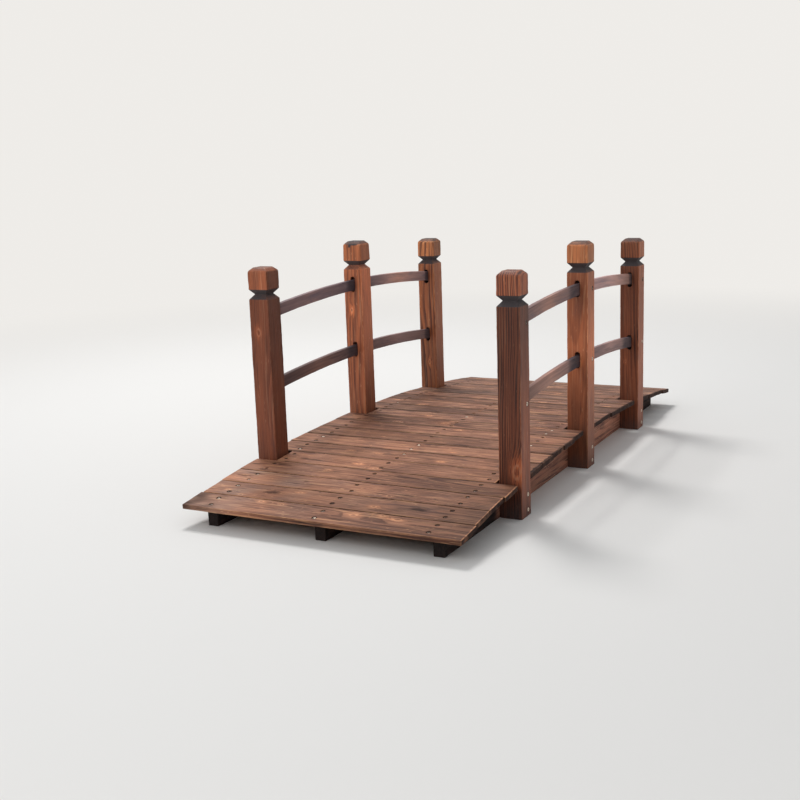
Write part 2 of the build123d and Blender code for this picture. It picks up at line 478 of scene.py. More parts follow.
class NodeMaker:
    """Adds shader nodes to a tree. A value is a number, a colour or another node's output."""

    def __init__(self, tree):
        self.tree = tree
        tree.nodes.clear()

    def add(self, kind, values=(), output=0, **settings):
        """A node of a kind with its settings and the values of its sockets. Gives one output."""
        node = self.tree.nodes.new("ShaderNode" + kind)
        for key, value in settings.items():
            setattr(node, key, value)
        for socket, value in dict(values).items():
            if isinstance(value, bpy.types.NodeSocket):
                self.tree.links.new(value, node.inputs[socket])
            else:
                node.inputs[socket].default_value = value
        return node.outputs[output] if len(node.outputs) else None

    def layer(self, name, output="Vector"):
        """A layer of the mesh."""
        return self.add("Attribute", output=output, attribute_name=name)

    def math(self, operation, *values, clamp=False):
        """Arithmetic on numbers."""
        return self.add("Math", enumerate(values), operation=operation, use_clamp=clamp)

    def vector(self, operation, *values, output=0):
        """Arithmetic on vectors."""
        return self.add("VectorMath", enumerate(values), output=output, operation=operation)

    def swing(self, field, depth, start):
        """Start plus depth times how far a noise lies above its middle, 0.5."""
        return self.math("MULTIPLY_ADD", self.math("SUBTRACT", field, 0.5), depth, start)

    def noise(self, place, scale, shift=None, detail=2.0, roughness=0.5, output=0, distortion=0.0):
        """Noise with so many waves a metre along each axis, read from a place that may be shifted."""
        place = self.vector("MULTIPLY", place, scale)
        if shift:
            place = self.vector("ADD", place, shift)
        values = {"Vector": place, "Scale": 1.0, "Detail": detail, "Roughness": roughness,
                  "Distortion": distortion}
        return self.add("TexNoise", values, output=output)

    def step(self, value, low, high, out_low=0.0, out_high=1.0):
        """A smooth step from one value to another where the input runs from low to high."""
        values = {0: value, 1: low, 2: high, 3: out_low, 4: out_high}
        return self.add("MapRange", values, interpolation_type="SMOOTHSTEP")

    def mix(self, factor, a, b, blend="MIX"):
        """A blend of two colours."""
        return self.add("Mix", {0: factor, 6: a, 7: b}, output=2, data_type="RGBA", blend_type=blend)

    def paint(self, colour, mask, share, paint):
        """A colour with up to a share of paint over it, where the mask is 1."""
        return self.mix(self.math("MULTIPLY", mask, share), colour, opaque(paint))

    def combine(self, x, y, z):
        """A vector of three numbers."""
        return self.add("CombineXYZ", {0: x, 1: y, 2: z})

    def split(self, vector):
        """The three numbers of a vector."""
        node = self.tree.nodes.new("ShaderNodeSeparateXYZ")
        self.tree.links.new(vector, node.inputs[0])
        return node.outputs


def new_material(name):
    """A new material with an empty tree, and the maker of its nodes."""
    material = bpy.data.materials.new(name)
    material.use_nodes = True
    return material, NodeMaker(material.node_tree)


def opaque(colour):
    """A colour with its fourth value, for a shader socket."""
    return (*colour, 1.0)


def shade(colour, factor):
    """A colour made darker or brighter, by one factor or by one for each of its three values."""
    return tuple(np.array(colour) * factor)


# Waves a metre of the patterns in the wood, across the grain twice and then along it
SLOW_WARP = (7.0, 7.0, 1.6)
FAST_WARP = (42.0, 42.0, 6.5)
KNOT_EDGE = (260.0, 260.0, 90.0)
RING_STRENGTH = (55.0, 55.0, 7.0)
BROAD_STREAKS = (62.0, 62.0, 4.2)
STREAKS = (230.0, 230.0, 7.0)
FIBRES = (560.0, 560.0, 15.0)
PATCHES = (19.0, 19.0, 6.0)
SMEARS = (44.0, 44.0, 11.0)
BLOTCHES = (85.0, 85.0, 30.0)
PALE_STREAKS = (240.0, 240.0, 8.0)
PALE_FLECKS = (330.0, 330.0, 52.0)
CRACKS = (140.0, 140.0, 5.0)
CRACKED_ZONES = (30.0, 30.0, 5.0)
RAGGED_EDGES = (420.0, 420.0, 60.0)

# Waves of the unevenness of the rings: a ring outwards, an axis that is left at 0, and a metre along
RING_UNEVENNESS = (0.45, 1.0, 0.6)

# Share of each log place's axes that counts across the grain, and the middle of a coloured noise
ACROSS = (1.0, 1.0, 0.0)
NOISE_MIDDLE = (0.5,) * 3

# How far the slow and the fast warp bend the rings, in metres
WARP_DEPTHS = ((0.045, 0.045, 0.0), (0.0045, 0.0045, 0.0))


def grain_warp(n, place):
    """How far the grain is bent aside: a slow and a fast noise about their middle."""
    bends = []
    for scale, depth in zip((SLOW_WARP, FAST_WARP), WARP_DEPTHS):
        field = n.noise(place, scale, detail=1.0, output=1)
        bends.append(n.vector("MULTIPLY", n.vector("SUBTRACT", field, NOISE_MIDDLE), depth))
    return n.vector("ADD", *bends)


def knot_distance(n, place, knot_along, knot_across):
    """Distance from the nearest knot in knot radii, drawn out along the grain and ragged by noise."""
    ragged = n.noise(place, KNOT_EDGE, detail=2.0, output=1)
    spot = n.combine(n.math("MULTIPLY", knot_along, KNOT_SQUASH), knot_across, 0.0)
    spot = n.vector("ADD", spot, n.vector("SUBTRACT", ragged, NOISE_MIDDLE))
    return n.vector("LENGTH", n.vector("MULTIPLY", spot, ACROSS), output=1)


def growth_rings(n, place, warp, knot_reach, knot_radius, ring_gap):
    """The hard late wood of the rings. A ring is a step of ring_gap in the distance from the pith,
    which is warped, pushed out round a knot by exp(-0.14 d^2) at distance d, and made uneven by noise.
    In each ring the late wood comes in slowly and ends at once."""
    bent = n.vector("MULTIPLY", n.vector("ADD", place, warp), ACROSS)
    radial = n.vector("LENGTH", bent, output=1)
    bulge = n.math("EXPONENT", n.math("MULTIPLY", n.math("POWER", knot_reach, 2.0), -0.14))
    radial = n.math("MULTIPLY_ADD", n.math("MULTIPLY", bulge, knot_radius), 2.2, radial)
    turns = n.math("DIVIDE", radial, ring_gap)
    uneven = n.noise(n.combine(turns, 0.0, n.split(place)[2]), RING_UNEVENNESS)
    phase = n.math("FRACT", n.math("MULTIPLY_ADD", uneven, 2.4, turns))
    return n.math("MULTIPLY", n.step(phase, 0.2, 0.84), n.step(phase, 1.0, 0.9))


def drying_cracks(n, place, bent_place, share):
    """Fine cracks along the grain, where a noise drawn out along it crosses its middle in some zones."""
    field = n.noise(bent_place, CRACKS, detail=1.0)
    near_middle = n.step(n.math("ABSOLUTE", n.math("SUBTRACT", field, 0.5)), 0.06, 0.015)
    zone = n.step(n.noise(place, CRACKED_ZONES, detail=1.0), 0.62, 0.68)
    return n.math("MULTIPLY", n.math("MULTIPLY", near_middle, zone), share)


def wood_material(name, light, dark, grey, worn, darkest, tint, ring_gap, ring_depth, streak_depth,
                  fibre_depth, pale_share, grey_share, blotch_share, wear_reach, roughness, shine=0.3):
    """Stained softwood with growth rings and knots. Fibres and streaks are noise drawn out along the
    grain. Patches turn grey, small blotches darken, and edges wear pale. The stain layer turns end
    grain, grooves and slots dark, with real stain and with painted shade in gaps, slots, holes and
    under the deck. The three values of the finish layer are the brightness, which holds painted light
    and shade as well as the wood's own tone, the share of the tint and the strength of the grain."""
    material, n = new_material(name)
    place = n.layer("log_place")
    tone, tint_share, grain = n.split(n.layer("finish"))
    clearance = n.layer("edge_clearance", "Fac")
    stain = n.layer("stain", "Fac")
    knot_along, knot_across, knot_radius = n.split(n.layer("knot_place"))
    knot_reach = knot_distance(n, place, knot_along, knot_across)
    warp = grain_warp(n, place)
    late = growth_rings(n, place, warp, knot_reach, knot_radius, ring_gap)
    ring_weight = n.step(n.noise(place, RING_STRENGTH, detail=1.0), 0.3, 0.62, 0.45, 1.15)
    ring_weight = n.math("MULTIPLY", ring_weight, grain)

    bent_place = n.vector("ADD", place, n.vector("MULTIPLY", warp, (0.5, 0.5, 0.0)))
    broad = n.noise(bent_place, BROAD_STREAKS, detail=3.0, roughness=0.55)
    streak = n.noise(bent_place, STREAKS, detail=3.0, roughness=0.6)
    fibre = n.noise(bent_place, FIBRES, detail=4.0, roughness=0.68)
    patch = n.noise(place, PATCHES, detail=3.0, roughness=0.6)
    smear = n.noise(place, SMEARS, detail=4.0, roughness=0.62, distortion=0.5)

    darkness = n.math("MULTIPLY_ADD", n.math("MULTIPLY", late, ring_weight), ring_depth, 0.2)
    calm = n.math("MULTIPLY_ADD", grain, 0.5, 0.5)
    for field, depth in ((broad, 1.9 * streak_depth), (streak, 1.5 * streak_depth)):
        swing = n.math("MULTIPLY", n.math("SUBTRACT", field, 0.5), calm)
        darkness = n.math("MULTIPLY_ADD", swing, depth, darkness)
    for field, depth in ((fibre, fibre_depth), (patch, 1.2 * streak_depth)):
        darkness = n.swing(field, depth, darkness)
    darkness = n.math("ADD", darkness, 0.0, clamp=True)
    colour = n.mix(darkness, opaque(light), opaque(dark))

    colour = n.paint(colour, n.step(smear, 0.53, 0.72), grey_share, grey)
    blotch = n.noise(place, BLOTCHES, (7.7, 2.3, 1.1), detail=4.0, roughness=0.7, distortion=0.8)
    colour = n.paint(colour, n.step(blotch, 0.60, 0.72), blotch_share, shade(grey, 0.5))
    pale = n.noise(bent_place, PALE_STREAKS, (3.1, 1.7, 5.9), detail=4.0)
    colour = n.paint(colour, n.step(pale, 0.55, 0.72), pale_share, worn)
    fleck = n.noise(place, PALE_FLECKS, detail=1.0)
    colour = n.paint(colour, n.step(fleck, 0.70, 0.78), pale_share, shade(worn, 1.25))

    heart = n.step(knot_reach, 0.75, 0.45)
    rim = n.math("MULTIPLY", n.step(knot_reach, 0.7, 1.0), n.step(knot_reach, 1.5, 1.1))
    around = n.math("MULTIPLY", n.step(knot_reach, 4.5, 1.2), n.step(streak, 0.4, 0.62))
    colour = n.paint(colour, around, 0.6, shade(light, (1.5, 1.35, 1.1)))
    colour = n.paint(colour, rim, 0.5, worn)
    colour = n.paint(colour, heart, 0.45, shade(dark, 0.7))
    cracks = drying_cracks(n, place, bent_place, 0.35 + 0.75 * blotch_share)
    colour = n.mix(cracks, colour, opaque(shade(dark, 0.35)))

    ragged = n.noise(place, RAGGED_EDGES)
    wear_edge = n.math("MULTIPLY_ADD", n.math("SUBTRACT", ragged, 0.45), wear_reach * 2.6, clearance)
    wear = n.math("MULTIPLY", n.step(wear_edge, wear_reach, wear_reach * 0.25), 0.6)
    colour = n.mix(wear, colour, opaque(worn))
    colour = n.mix(1.0, colour, n.combine(tone, tone, tone), "MULTIPLY")
    tinted = n.mix(tint_share, (1.0, 1.0, 1.0, 1.0), opaque(tint))
    colour = n.mix(1.0, colour, tinted, "MULTIPLY")
    # Painted shade and real stain: the stain layer's mask darkens towards the darkest colour
    stain_and_shade_mask = n.step(n.swing(smear, 0.5, stain), 0.15, 0.8)
    colour = n.paint(colour, stain_and_shade_mask, 0.96, darkest)

    rough = n.swing(fibre, 0.25, roughness)
    rough = n.math("MULTIPLY_ADD", n.math("MAXIMUM", wear, stain_and_shade_mask), 0.2, rough)
    height = n.math("MULTIPLY", late, 0.35)
    for field, depth in ((fibre, 0.9), (streak, 0.7), (cracks, -2.2), (heart, -0.6)):
        height = n.math("MULTIPLY_ADD", field, depth, height)
    normal = n.add("Bump", {"Strength": 0.7, "Distance": 0.0005, "Height": height})
    shader = n.add("BsdfPrincipled", {"Base Color": colour, "Roughness": rough, "Normal": normal,
                                      "Specular IOR Level": shine})
    n.add("OutputMaterial", {"Surface": shader})
    return material


def steel_material(name, colour):
    """Zinc-plated steel, dulled by streaks of stain in object space, by age, and in the recess by dirt
    with painted shade.
    """
    material, n = new_material(name)
    place = n.add("TexCoord", output="Object")
    cloud = n.noise(place, (310.0,) * 3, detail=3.0)
    fine = n.noise(place, (1900.0,) * 3)
    recess = n.layer("recess", "Fac")
    age = n.layer("age", "Fac")
    dirt = n.math("MAXIMUM", n.step(n.math("MULTIPLY_ADD", age, 0.6, cloud), 0.6, 1.0), recess)
    stained = n.mix(dirt, opaque(colour), (0.060, 0.030, 0.021, 1.0))
    rough = n.math("MULTIPLY_ADD", dirt, 0.3, n.step(fine, 0.2, 0.8, 0.3, 0.55))
    normal = n.add("Bump", {"Strength": 0.4, "Distance": 0.0001, "Height": fine})
    metal = n.math("MULTIPLY_ADD", dirt, -0.75, 0.8)
    shader = n.add("BsdfPrincipled", {"Base Color": stained, "Metallic": metal, "Roughness": rough,
                                      "Normal": normal, "Specular IOR Level": 0.15})
    n.add("OutputMaterial", {"Surface": shader})
    return material


def shared_material(name, maker, *colours, **finish):
    """The material of that name, made on its first use."""
    return bpy.data.materials.get(name) or maker(name, *colours, **finish)


def shared_wood(colours, wood, darkest, **finish):
    """The material of one wood, from its five colours. The last is its darkest one, for stain and painted
    shade.
    """
    parts = [getattr(colours, f"{wood}_{part}") for part in ("light", "dark", "grey", "worn", darkest)]
    return shared_material(f"worn_{wood}_wood", wood_material, *parts, **finish)


def deck_wood(colours):
    """Weathered stain with open grain, grey patches and much wear."""
    return shared_wood(
        colours, "deck", "end", tint=(0.80, 1.02, 1.28), ring_gap=0.0042, ring_depth=0.5,
        streak_depth=0.8, fibre_depth=1.7, pale_share=0.75, grey_share=0.75, blotch_share=0.6,
        wear_reach=0.0024, roughness=0.62, shine=0.16)


def post_wood(colours):
    """Warm stain with strong rings, little weathered."""
    return shared_wood(
        colours, "post", "groove", tint=(1.0, 1.25, 1.05), ring_gap=0.0050, ring_depth=0.75,
        streak_depth=0.42, fibre_depth=1.0, pale_share=0.45, grey_share=0.25, blotch_share=0.1,
        wear_reach=0.0020, roughness=0.5)


def rail_wood(colours):
    """Greyish stain with fine, faint rings."""
    return shared_wood(
        colours, "rail", "end", tint=(0.80, 1.10, 1.62), ring_gap=0.0036, ring_depth=0.2,
        streak_depth=0.7, fibre_depth=0.8, pale_share=0.2, grey_share=0.5, blotch_share=0.0,
        wear_reach=0.0010, roughness=0.58)


def bearer_wood(colours):
    """Sawn wood with broad streaks of thick stain."""
    return shared_wood(
        colours, "bearer", "end", tint=(1.22, 0.98, 0.78), ring_gap=0.0044, ring_depth=0.6,
        streak_depth=1.2, fibre_depth=1.3, pale_share=0.6, grey_share=0.4, blotch_share=0.3,
        wear_reach=0.0022, roughness=0.66)


def screw_steel(colours):
    """Zinc-plated steel of every screw."""
    return shared_material("dull_steel", steel_material, colours.screw_steel)


class Deck:
    """The deck's arch and its boards' sizes, worked out from the frame."""

    def __init__(self):
        middle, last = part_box(BOARD_NODES[len(BOARD_NODES) // 2]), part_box(BOARD_NODES[-1])
        self.thickness = middle[1].z - middle[0].z
        self.width = middle[1].x - middle[0].x
        middle_height = (middle[0].z + middle[1].z) / 2
        end = (last[0] + last[1]) / 2
        drop = middle_height - end.z
        self.radius = (end.x**2 + drop**2) / (2 * drop)
        self.circle_height = middle_height - self.radius

    def board_frame(self, node):
        """Length, tilt about Y and centre of a board."""
        low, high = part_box(node)
        centre = (low + high) / 2
        return high.y - low.y, math.asin(centre.x / self.radius), centre

    def underside(self, x):
        """Height of the arch that the boards rest on."""
        return self.circle_height + np.sqrt((self.radius - self.thickness / 2) ** 2 - x**2)


# Half size of the patch of a board's grid that gives way to a screw, how much deeper its hole goes than
# its head, how far it may stray across the board and along it, and its least distance from the end
SCREW_BLOCK = 0.0102
HOLE_BELOW_HEAD = 0.0006
SCREW_STRAY = (0.0016, 0.0034)
SCREW_END_DISTANCE = 0.0150

# Steps of a board's grid through it, across it and along it, and its least rounding
BOARD_STEPS = (0.004, 0.0042, 0.0052)
LEAST_ROUNDING = 0.0005

# The twist and the waves of a board's faces, how far these lie inside the frame's box, how far its
# ends are cut askew, and the length over which a board counts as one of full length
BOARD_TWIST = 0.0003
BOARD_WAVES = 0.0002
BOARD_INSET = 0.0004
END_SKEW = 0.018
FULL_LENGTH = 0.6

# The right ends of the boards behind the front posts have a dark margin on top. Its width is given at
# some of the boards, and the board's grid has more stations there, at these distances from the end.
FIRST_FAR_BOARD = 5
CHIPPED_BOARD = 7
DARK_MARGINS = ((5, 9, 11, 15, 20), (0.0080, 0.0022, 0.0016, 0.0050, 0.0030))
MARGIN_STATIONS = (0.0034, 0.0052, 0.0088, 0.0106)

# Dark marks on top of some boards, as (v, w, half width, half length, strength), and extra knots
BOARD_MARKS = {
    1: ((0.004, -0.181, 0.0095, 0.026, 0.56), (0.003, 0.168, 0.0095, 0.030, 0.54),
        (0.026, 0.028, 0.006, 0.022, 0.46)),
    2: ((0.014, -0.099, 0.007, 0.036, 0.44), (0.001, 0.288, 0.008, 0.026, 0.55),
        (0.005, 0.1275, 0.006, 0.010, 0.56)),
    3: ((0.014, -0.073, 0.0065, 0.062, 0.52), (0.014, 0.233, 0.0065, 0.026, 0.46),
        (-0.025, 0.270, 0.006, 0.022, 0.46)),
    4: ((-0.007, 0.198, 0.009, 0.042, 0.44),),
    5: ((0.0, 0.276, 0.009, 0.020, 0.42),),
    7: ((-0.028, -0.100, 0.006, 0.025, 0.48),),
    11: ((-0.027, 0.103, 0.005, 0.014, 0.48),),
}
BOARD_KNOTS = {0: ((0.0156, -0.0653, 0.0046), (0.0193, -0.1623, 0.0046), (0.0249, 0.1638, 0.0030))}


def board_screws(node, sizes):
    """Places of a board's screws as (v, w): across the board and along it, each a little astray, but
    clear of its ends."""
    number = BOARD_NODES.index(node)
    low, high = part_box(node)
    rng = seeded("board_screws", number)
    spread = np.array([[side * sizes.screw_spread, row] for row in sizes.screw_rows for side in (-1, 1)])
    places = spread + rng.uniform(-1, 1, spread.shape) * SCREW_STRAY
    places[:, 1] = np.minimum(places[:, 1], (high.y - low.y) / 2 - SCREW_END_DISTANCE)
    return places


def make_board(node, deck, sizes, material):
    """A worn deck board with a sunk hole for each screw, its knots, and its place in a log."""
    number = BOARD_NODES.index(node)
    rng = seeded("board", number)
    length, tilt, centre = deck.board_frame(node)
    half = np.array([deck.thickness / 2, deck.width / 2, length / 2])
    rounding = sizes.board_rounding
    block = rounded_block(half, rounding, BOARD_STEPS, np.array(MARGIN_STATIONS) - half[2])
    block.points, even = wear_board(block.points, half, number, sizes, rng)
    screws = board_screws(node, sizes)
    for screw in screws:
        sink_screw(block, screw, SCREW_BLOCK, sizes.screw_hole_radius, sizes.screw_sink + HOLE_BELOW_HEAD)
    points = block.points
    even = np.concatenate([even, points[len(even):]])
    stain = board_stain_and_shade(points, even, half, screws, number, sizes)
    clearance = board_clearance(points, even, half, screws, number, sizes)
    knots = [(rng.uniform(-0.8, 0.8) * half[1], rng.uniform(-0.9, 0.9) * half[2], rng.uniform(0.0018, 0.0036))
             for _ in range(rng.integers(1, 5))]
    knots.extend(BOARD_KNOTS.get(number, ()))
    pith = (-rng.uniform(0.012, 0.06), rng.uniform(-0.045, 0.045))
    tone = board_tone(points, even, half, number, rng.uniform(0.86, 1.00), rounding)
    grain = rng.uniform(0.6, 1.3) * (1 - front_share(number) * np.clip(points[:, 2] / half[2], -0.9, 0.72))
    grain = grain + 1.3 * ease(number, 4.0, 10.0)
    lean = rng.uniform(-0.02, 0.02, 2)
    tint = board_coolness(points, half, number, rng.uniform(0.0, 0.4))
    layers = wood_layers(points, FIRST_LOGS["board"] + number, pith, clearance, stain, lean, tone, tint,
                         grain, knots)
    placed = place_points(points, BOARD_AXES, tilt, centre)
    return make_piece(f"{node}_worn", placed, block.all_quads(), layers, material, [node])


def front_share(number):
    """How much a board counts as one of the front: 1 for the first two, and 0 from the eighth on."""
    return ease(-number, -7.0, -1.0)


def left_of_front(points, number):
    """How much a point counts as on the left of the front boards."""
    return ease(-number, -5.0, -1.0) * ease(points[:, 2], 0.0, 0.25)


def wear_board(points, half, number, sizes, rng):
    """Wear a sharp block down to a board. Its rounding wanders, its faces are cupped by the square of
    the distance from its middle line, twisted and wavy, and its ends are cut a little askew. Gives the
    points, and the points that they would be with straight ends."""
    varied = wander(sizes.board_rounding, points, "board", number, (0.4, 0.035), (0.25, 0.011))
    points = round_edges(points, half, np.clip(varied, LEAST_ROUNDING, half[0] * 0.7)[:, None])
    across = points[:, 1] / half[1]
    cup = sizes.board_cup * rng.uniform(-0.4, 1.0) * (across**2 - 1)
    sag = cup + BOARD_TWIST * rng.uniform(-1, 1) * across
    waves = BOARD_WAVES * ripple(points, "board_sag", number, 0.09)
    points[:, 0] += np.minimum(sag + waves - BOARD_INSET, 0)
    points[:, 1] *= 0.996 - 0.003 * (1 + ripple(points, "board_narrowing", number, 0.2, ALONG))
    even = points.copy()
    scatter = sizes.board_scatter * (1.0 if half[2] * 2 > FULL_LENGTH else 0.4)
    toward_end = points[:, 2] / half[2]
    for sign, share in ((-1, 1.0), (1, 0.7)):
        move = rng.uniform(-1, 1) * scatter * share
        turn = rng.uniform(-1, 1) * END_SKEW * share
        points[:, 2] += np.clip(sign * toward_end, 0, 1) ** 4 * (move + turn * points[:, 1])
    return points, even


def board_tone(points, even, half, number, own, rounding):
    """Brightness of a board, from its own. Every other board is brighter. The front boards are brighter
    towards their left ends, and the middle boards all along. The brightness wanders, and is broken by
    patches and pale flecks. The lips of the right ends are brighter, worn and with a painted highlight,
    a strip beside the front edge is brighter as a painted highlight, and painted shade darkens the wood
    beside a seam."""
    _, v, w = points.T
    front = front_share(number)
    beyond_front = ease(number, 7, 12)
    own = own + (0.05 + 0.05 * ease(number, 6, 12)) * (-1) ** number
    middle = ease(number, 2, 4) * ease(-number, -14, -9)
    tone = own * (1 + front * (0.10 + 0.45 * w / half[2]) + 0.17 * middle)
    slow = 0.12 * ripple(points, "board_tone", number, 0.5)
    tone = tone * (1 + slow + 0.07 * ease(number, 7, 13) + 0.05 * ease(number, 12, 17))
    broken = 0.08 + 0.14 * beyond_front + 0.10 * front * ease(-w, 0.0, 0.2)
    tone = tone * (1 + broken * ripple(points, "board_broken_tone", number, 0.055, (0, 3.5, 1)))
    flecks = ease(ripple(points, "board_pale_flecks", number, 0.035, (0, 3, 1)), 0.75, 1.15)
    tone = tone * (1 + 0.35 * flecks * ease(number, 1, 7))

    # Painted highlight with wear on the top lips of the right ends, strongest on the front boards
    at_end = ease(np.abs(even[:, 2]), half[2] - 0.0032, half[2] - 0.0012)
    on_edge = ease(even[:, 0], half[0] - 1.3 * rounding, half[0] - 0.2 * rounding)
    tone = tone * (1 + at_end * on_edge * np.where(even[:, 2] < 0, 0.2 + 1.4 * front, 0.0))

    # Painted shade beside each seam, weaker towards the right of the nearer boards
    near_right = ease(-w, 0.05, 0.20) * ease(-number, -13, -9)
    beside_seam = ease(np.abs(v), half[1] - 0.0085, half[1] - 0.0020)
    shade_depth = (0.60 - 0.48 * front - 0.10 * beyond_front) * (1 - 0.35 * near_right)
    uneven = 0.66 + 0.34 * ripple(points, "board_seam_shade", number, 0.1, ALONG)
    tone = tone * (1 - beside_seam * shade_depth * uneven)

    # Painted highlight: a lit strip on each board just behind its front edge
    from_front = v + half[1]
    lit_strip = ease(-from_front, -0.024, -0.014) * ease(from_front, 0.007, 0.011)
    uneven = 0.5 + 0.5 * ripple(points, "board_lit_strip", number, 0.08, ALONG)
    return tone * (1 + lit_strip * (0.22 - 0.12 * front + 0.03 * beyond_front) * uneven)


def board_coolness(points, half, number, own):
    """Share of the cool tint on a board: a little of its own, with soft patches that are strongest on
    the left of the front boards, and at the left corner of the first."""
    _, v, w = points.T
    patches = ripple(points, "board_coolness", number, 0.11, ON_FACE)
    on_left = ease(w, -0.05, 0.2) * ease(v, -half[1], 0.006 - half[1])
    front_left = ease(-number, -5.0, -1.0) * on_left
    far = ease(number, 5, 11)
    own = own * (0.2 + 0.5 * far) + 0.20 * far
    corner = 0.6 * ease(w, half[2] - 0.16, half[2] - 0.05) * (number == 0)
    return np.clip(own + 0.15 * patches + front_left * (0.42 + 0.40 * patches) + corner, 0, 1)


def board_stain_and_shade(points, even, half, screws, number, sizes):
    """How dark a board is painted, as the highest of its darkenings: stain on the ends, with painted
    shade on the right ends of the far boards, stain with painted shade in the gaps and round and down
    the screw holes, painted shade on the underside, and smudges and marks on top. The even points are
    those of straight ends."""
    u, _, w = points.T
    rounding = sizes.board_rounding
    # Painted shade on the underside of the board
    under = ease(-u, 0, half[0]) * 0.35
    corner = 0.48 + 0.14 * ripple(points, "board_corner", number, 0.03)
    corner = corner * ease(w, half[2] - 0.14, half[2] - 0.02) * (number == 0)
    marks = worn_marks(points, BOARD_MARKS.get(number, ()), "board_marks", number) * (u > 0)
    return np.max([
        under, corner, marks,
        board_end_stain(points, even, half, rounding, number),
        board_seam_stain(points, half, rounding, number),
        screw_hole_stain_and_shade(points, half, screws, number, sizes.screw_hole_radius),
        board_smudges(points, even, half, number),
    ], axis=0)


def board_end_stain(points, even, half, rounding, number):
    """Uneven stain on the end grain. On the right ends of the far boards it is stain with painted shade
    and covers the worn edge too, and on top there is a dark margin, which is lighter on the chipped
    board."""
    v = points[:, 1]
    ends = ease(np.abs(even[:, 2]), half[2] - 0.8 * rounding, half[2] - 0.1 * rounding)
    # Painted shade with the stain on the right ends of the far boards
    far_right = (even[:, 2] < 0) * ease(number, FIRST_FAR_BOARD - 1, FIRST_FAR_BOARD)
    ends *= np.maximum(ease(half[0] - even[:, 0], 0.6 * rounding, 1.5 * rounding), far_right)
    uneven = 0.3 * ripple(points, "board_end_stain", number, 0.022)
    chipped = 1 - 0.32 * ease(v, -0.006, 0.008) * (number == CHIPPED_BOARD)
    own = (0.1, -0.14, 0.2)[number % 3]
    ends *= np.where(far_right > 0, (0.72 + 1.4 * uneven) * chipped, 0.56 + uneven + own)
    ragged = 0.3 * ripple(points, "board_margins", number, 0.02, (0, 1, 0))
    start = half[2] - np.interp(number, *DARK_MARGINS) * (1 + ragged)
    margins = far_right * ease(-even[:, 2], start - 0.0012, start + 0.0008) * 0.7 * chipped
    return np.maximum(ends, margins)


def board_seam_stain(points, half, rounding, number):
    """Patchy dark on the sides that face a gap, stain with painted shade of the gap, and a thin wavering
    split along the open front edge and the open back edge of the deck."""
    u, v, _ = points.T
    front_left = left_of_front(points, number)
    open_sides = {0: v < 0, len(BOARD_NODES) - 1: v > 0}
    is_open = open_sides.get(number, np.zeros(len(points), bool))
    # Painted shade with stain on the sides that face a gap
    sides = ease(np.abs(v), half[1] - 0.75 * rounding, half[1] - 0.15 * rounding)
    split_height = 0.0012 * ripple(points, "board_split_line", number, 0.25, ALONG)
    is_split = ease(ripple(points, "board_split", number, 0.4, ALONG), -0.1, 0.3)
    split = np.clip(1 - np.abs(u - split_height) / 0.0016, 0, 1) * is_split
    patchy = 0.68 + 0.24 * ripple(points, "board_seam_stain", number, 0.12, ALONG)
    return np.where(is_open, sides * 0.7 * split, sides * patchy * (1 - 0.45 * front_left))


def screw_hole_stain_and_shade(points, half, screws, number, radius):
    """Dark down the screw holes of a board and on the rims of their mouths, stain with painted shade,
    more in some than in others."""
    distances = np.array([np.hypot(points[:, 1] - v, points[:, 2] - w) for v, w in screws])
    nearest = distances.min(axis=0)
    soiled = seeded("board_soiling", number).uniform(0.4, 1.0, len(screws)) - 0.3 * ease(number, 5, 9)
    soiled = soiled[distances.argmin(axis=0)]
    # Painted shade with stain down each hole and on the rim of its mouth
    below_top = points[:, 0] < half[0] - 0.0006
    holes = np.where(below_top, ease(nearest, radius * 1.3, radius * 0.9), 0.0) * soiled
    rims = ease(nearest, radius + 0.0003, radius - 0.0002) * (points[:, 0] > 0) * 0.8 * soiled
    return np.maximum(holes, rims)


def board_smudges(points, even, half, number):
    """Soft smudges here and there on a board, more of them at the left of the front boards, and a
    smudge towards each end."""
    front_left = left_of_front(points, number)
    smudges = ease(ripple(points, "board_smudges", number, 0.13, ON_FACE), 0.35, 0.9) * 0.28
    more = ease(ripple(points, "board_front_smudges", number, 0.10, (0, 2.2, 1)), 0.3, 1.0)
    smudges += front_left * 0.28 * more
    toward_end = ease(np.abs(even[:, 2]), half[2] - 0.10, half[2] - 0.01)
    strength = 0.17 + 0.16 * ripple(points, "board_end_smudges", number, 0.06, ON_FACE)
    return np.maximum(smudges, toward_end * strength)


def board_clearance(points, even, half, screws, number, sizes):
    """Distance from the nearest worn edge of a board. Beside each screw hole a crescent counts as
    worn: the part of a narrow ring that lies on one seeded side."""
    clearance = edge_clearance(even, half)
    rng = seeded("board_crescents", number)
    for v, w in screws:
        across, along = points[:, 1] - v, points[:, 2] - w
        distance = np.hypot(across, along)
        angle = rng.uniform(0, 2 * math.pi)
        facing = (across * math.cos(angle) + along * math.sin(angle)) / np.maximum(distance, 1e-9)
        ring = ease(-distance, -sizes.screw_hole_radius - 0.0030, -sizes.screw_hole_radius - 0.0004)
        crescent = ring * ease(facing, -0.1, 0.7) * (points[:, 0] > 0)
        clearance = np.minimum(clearance, np.where(crescent > 0.02, 0.004 * (1 - crescent), np.inf))
    return clearance


def mouth_rings(rim, middle, facing, steps):
    """Rings of points that lead from a square border into an opening. The rim and the middle are given
    as (depth axis, across, across). Each step is (share, outline, sink): the ring lies that share of
    the way from the rim to the outline, and sinks below the face, whose height runs from the rim's own
    to the rim's mean."""
    outward = rim[:, 1:] - middle[1:]
    rings = []
    for share, outline, sink in steps:
        across = outline * share + outward * (1 - share) + middle[1:]
        depth = rim[:, 0] * (1 - share) + middle[0] * share - facing * sink
        rings.append(np.column_stack([depth, across]))
    return np.array(rings)


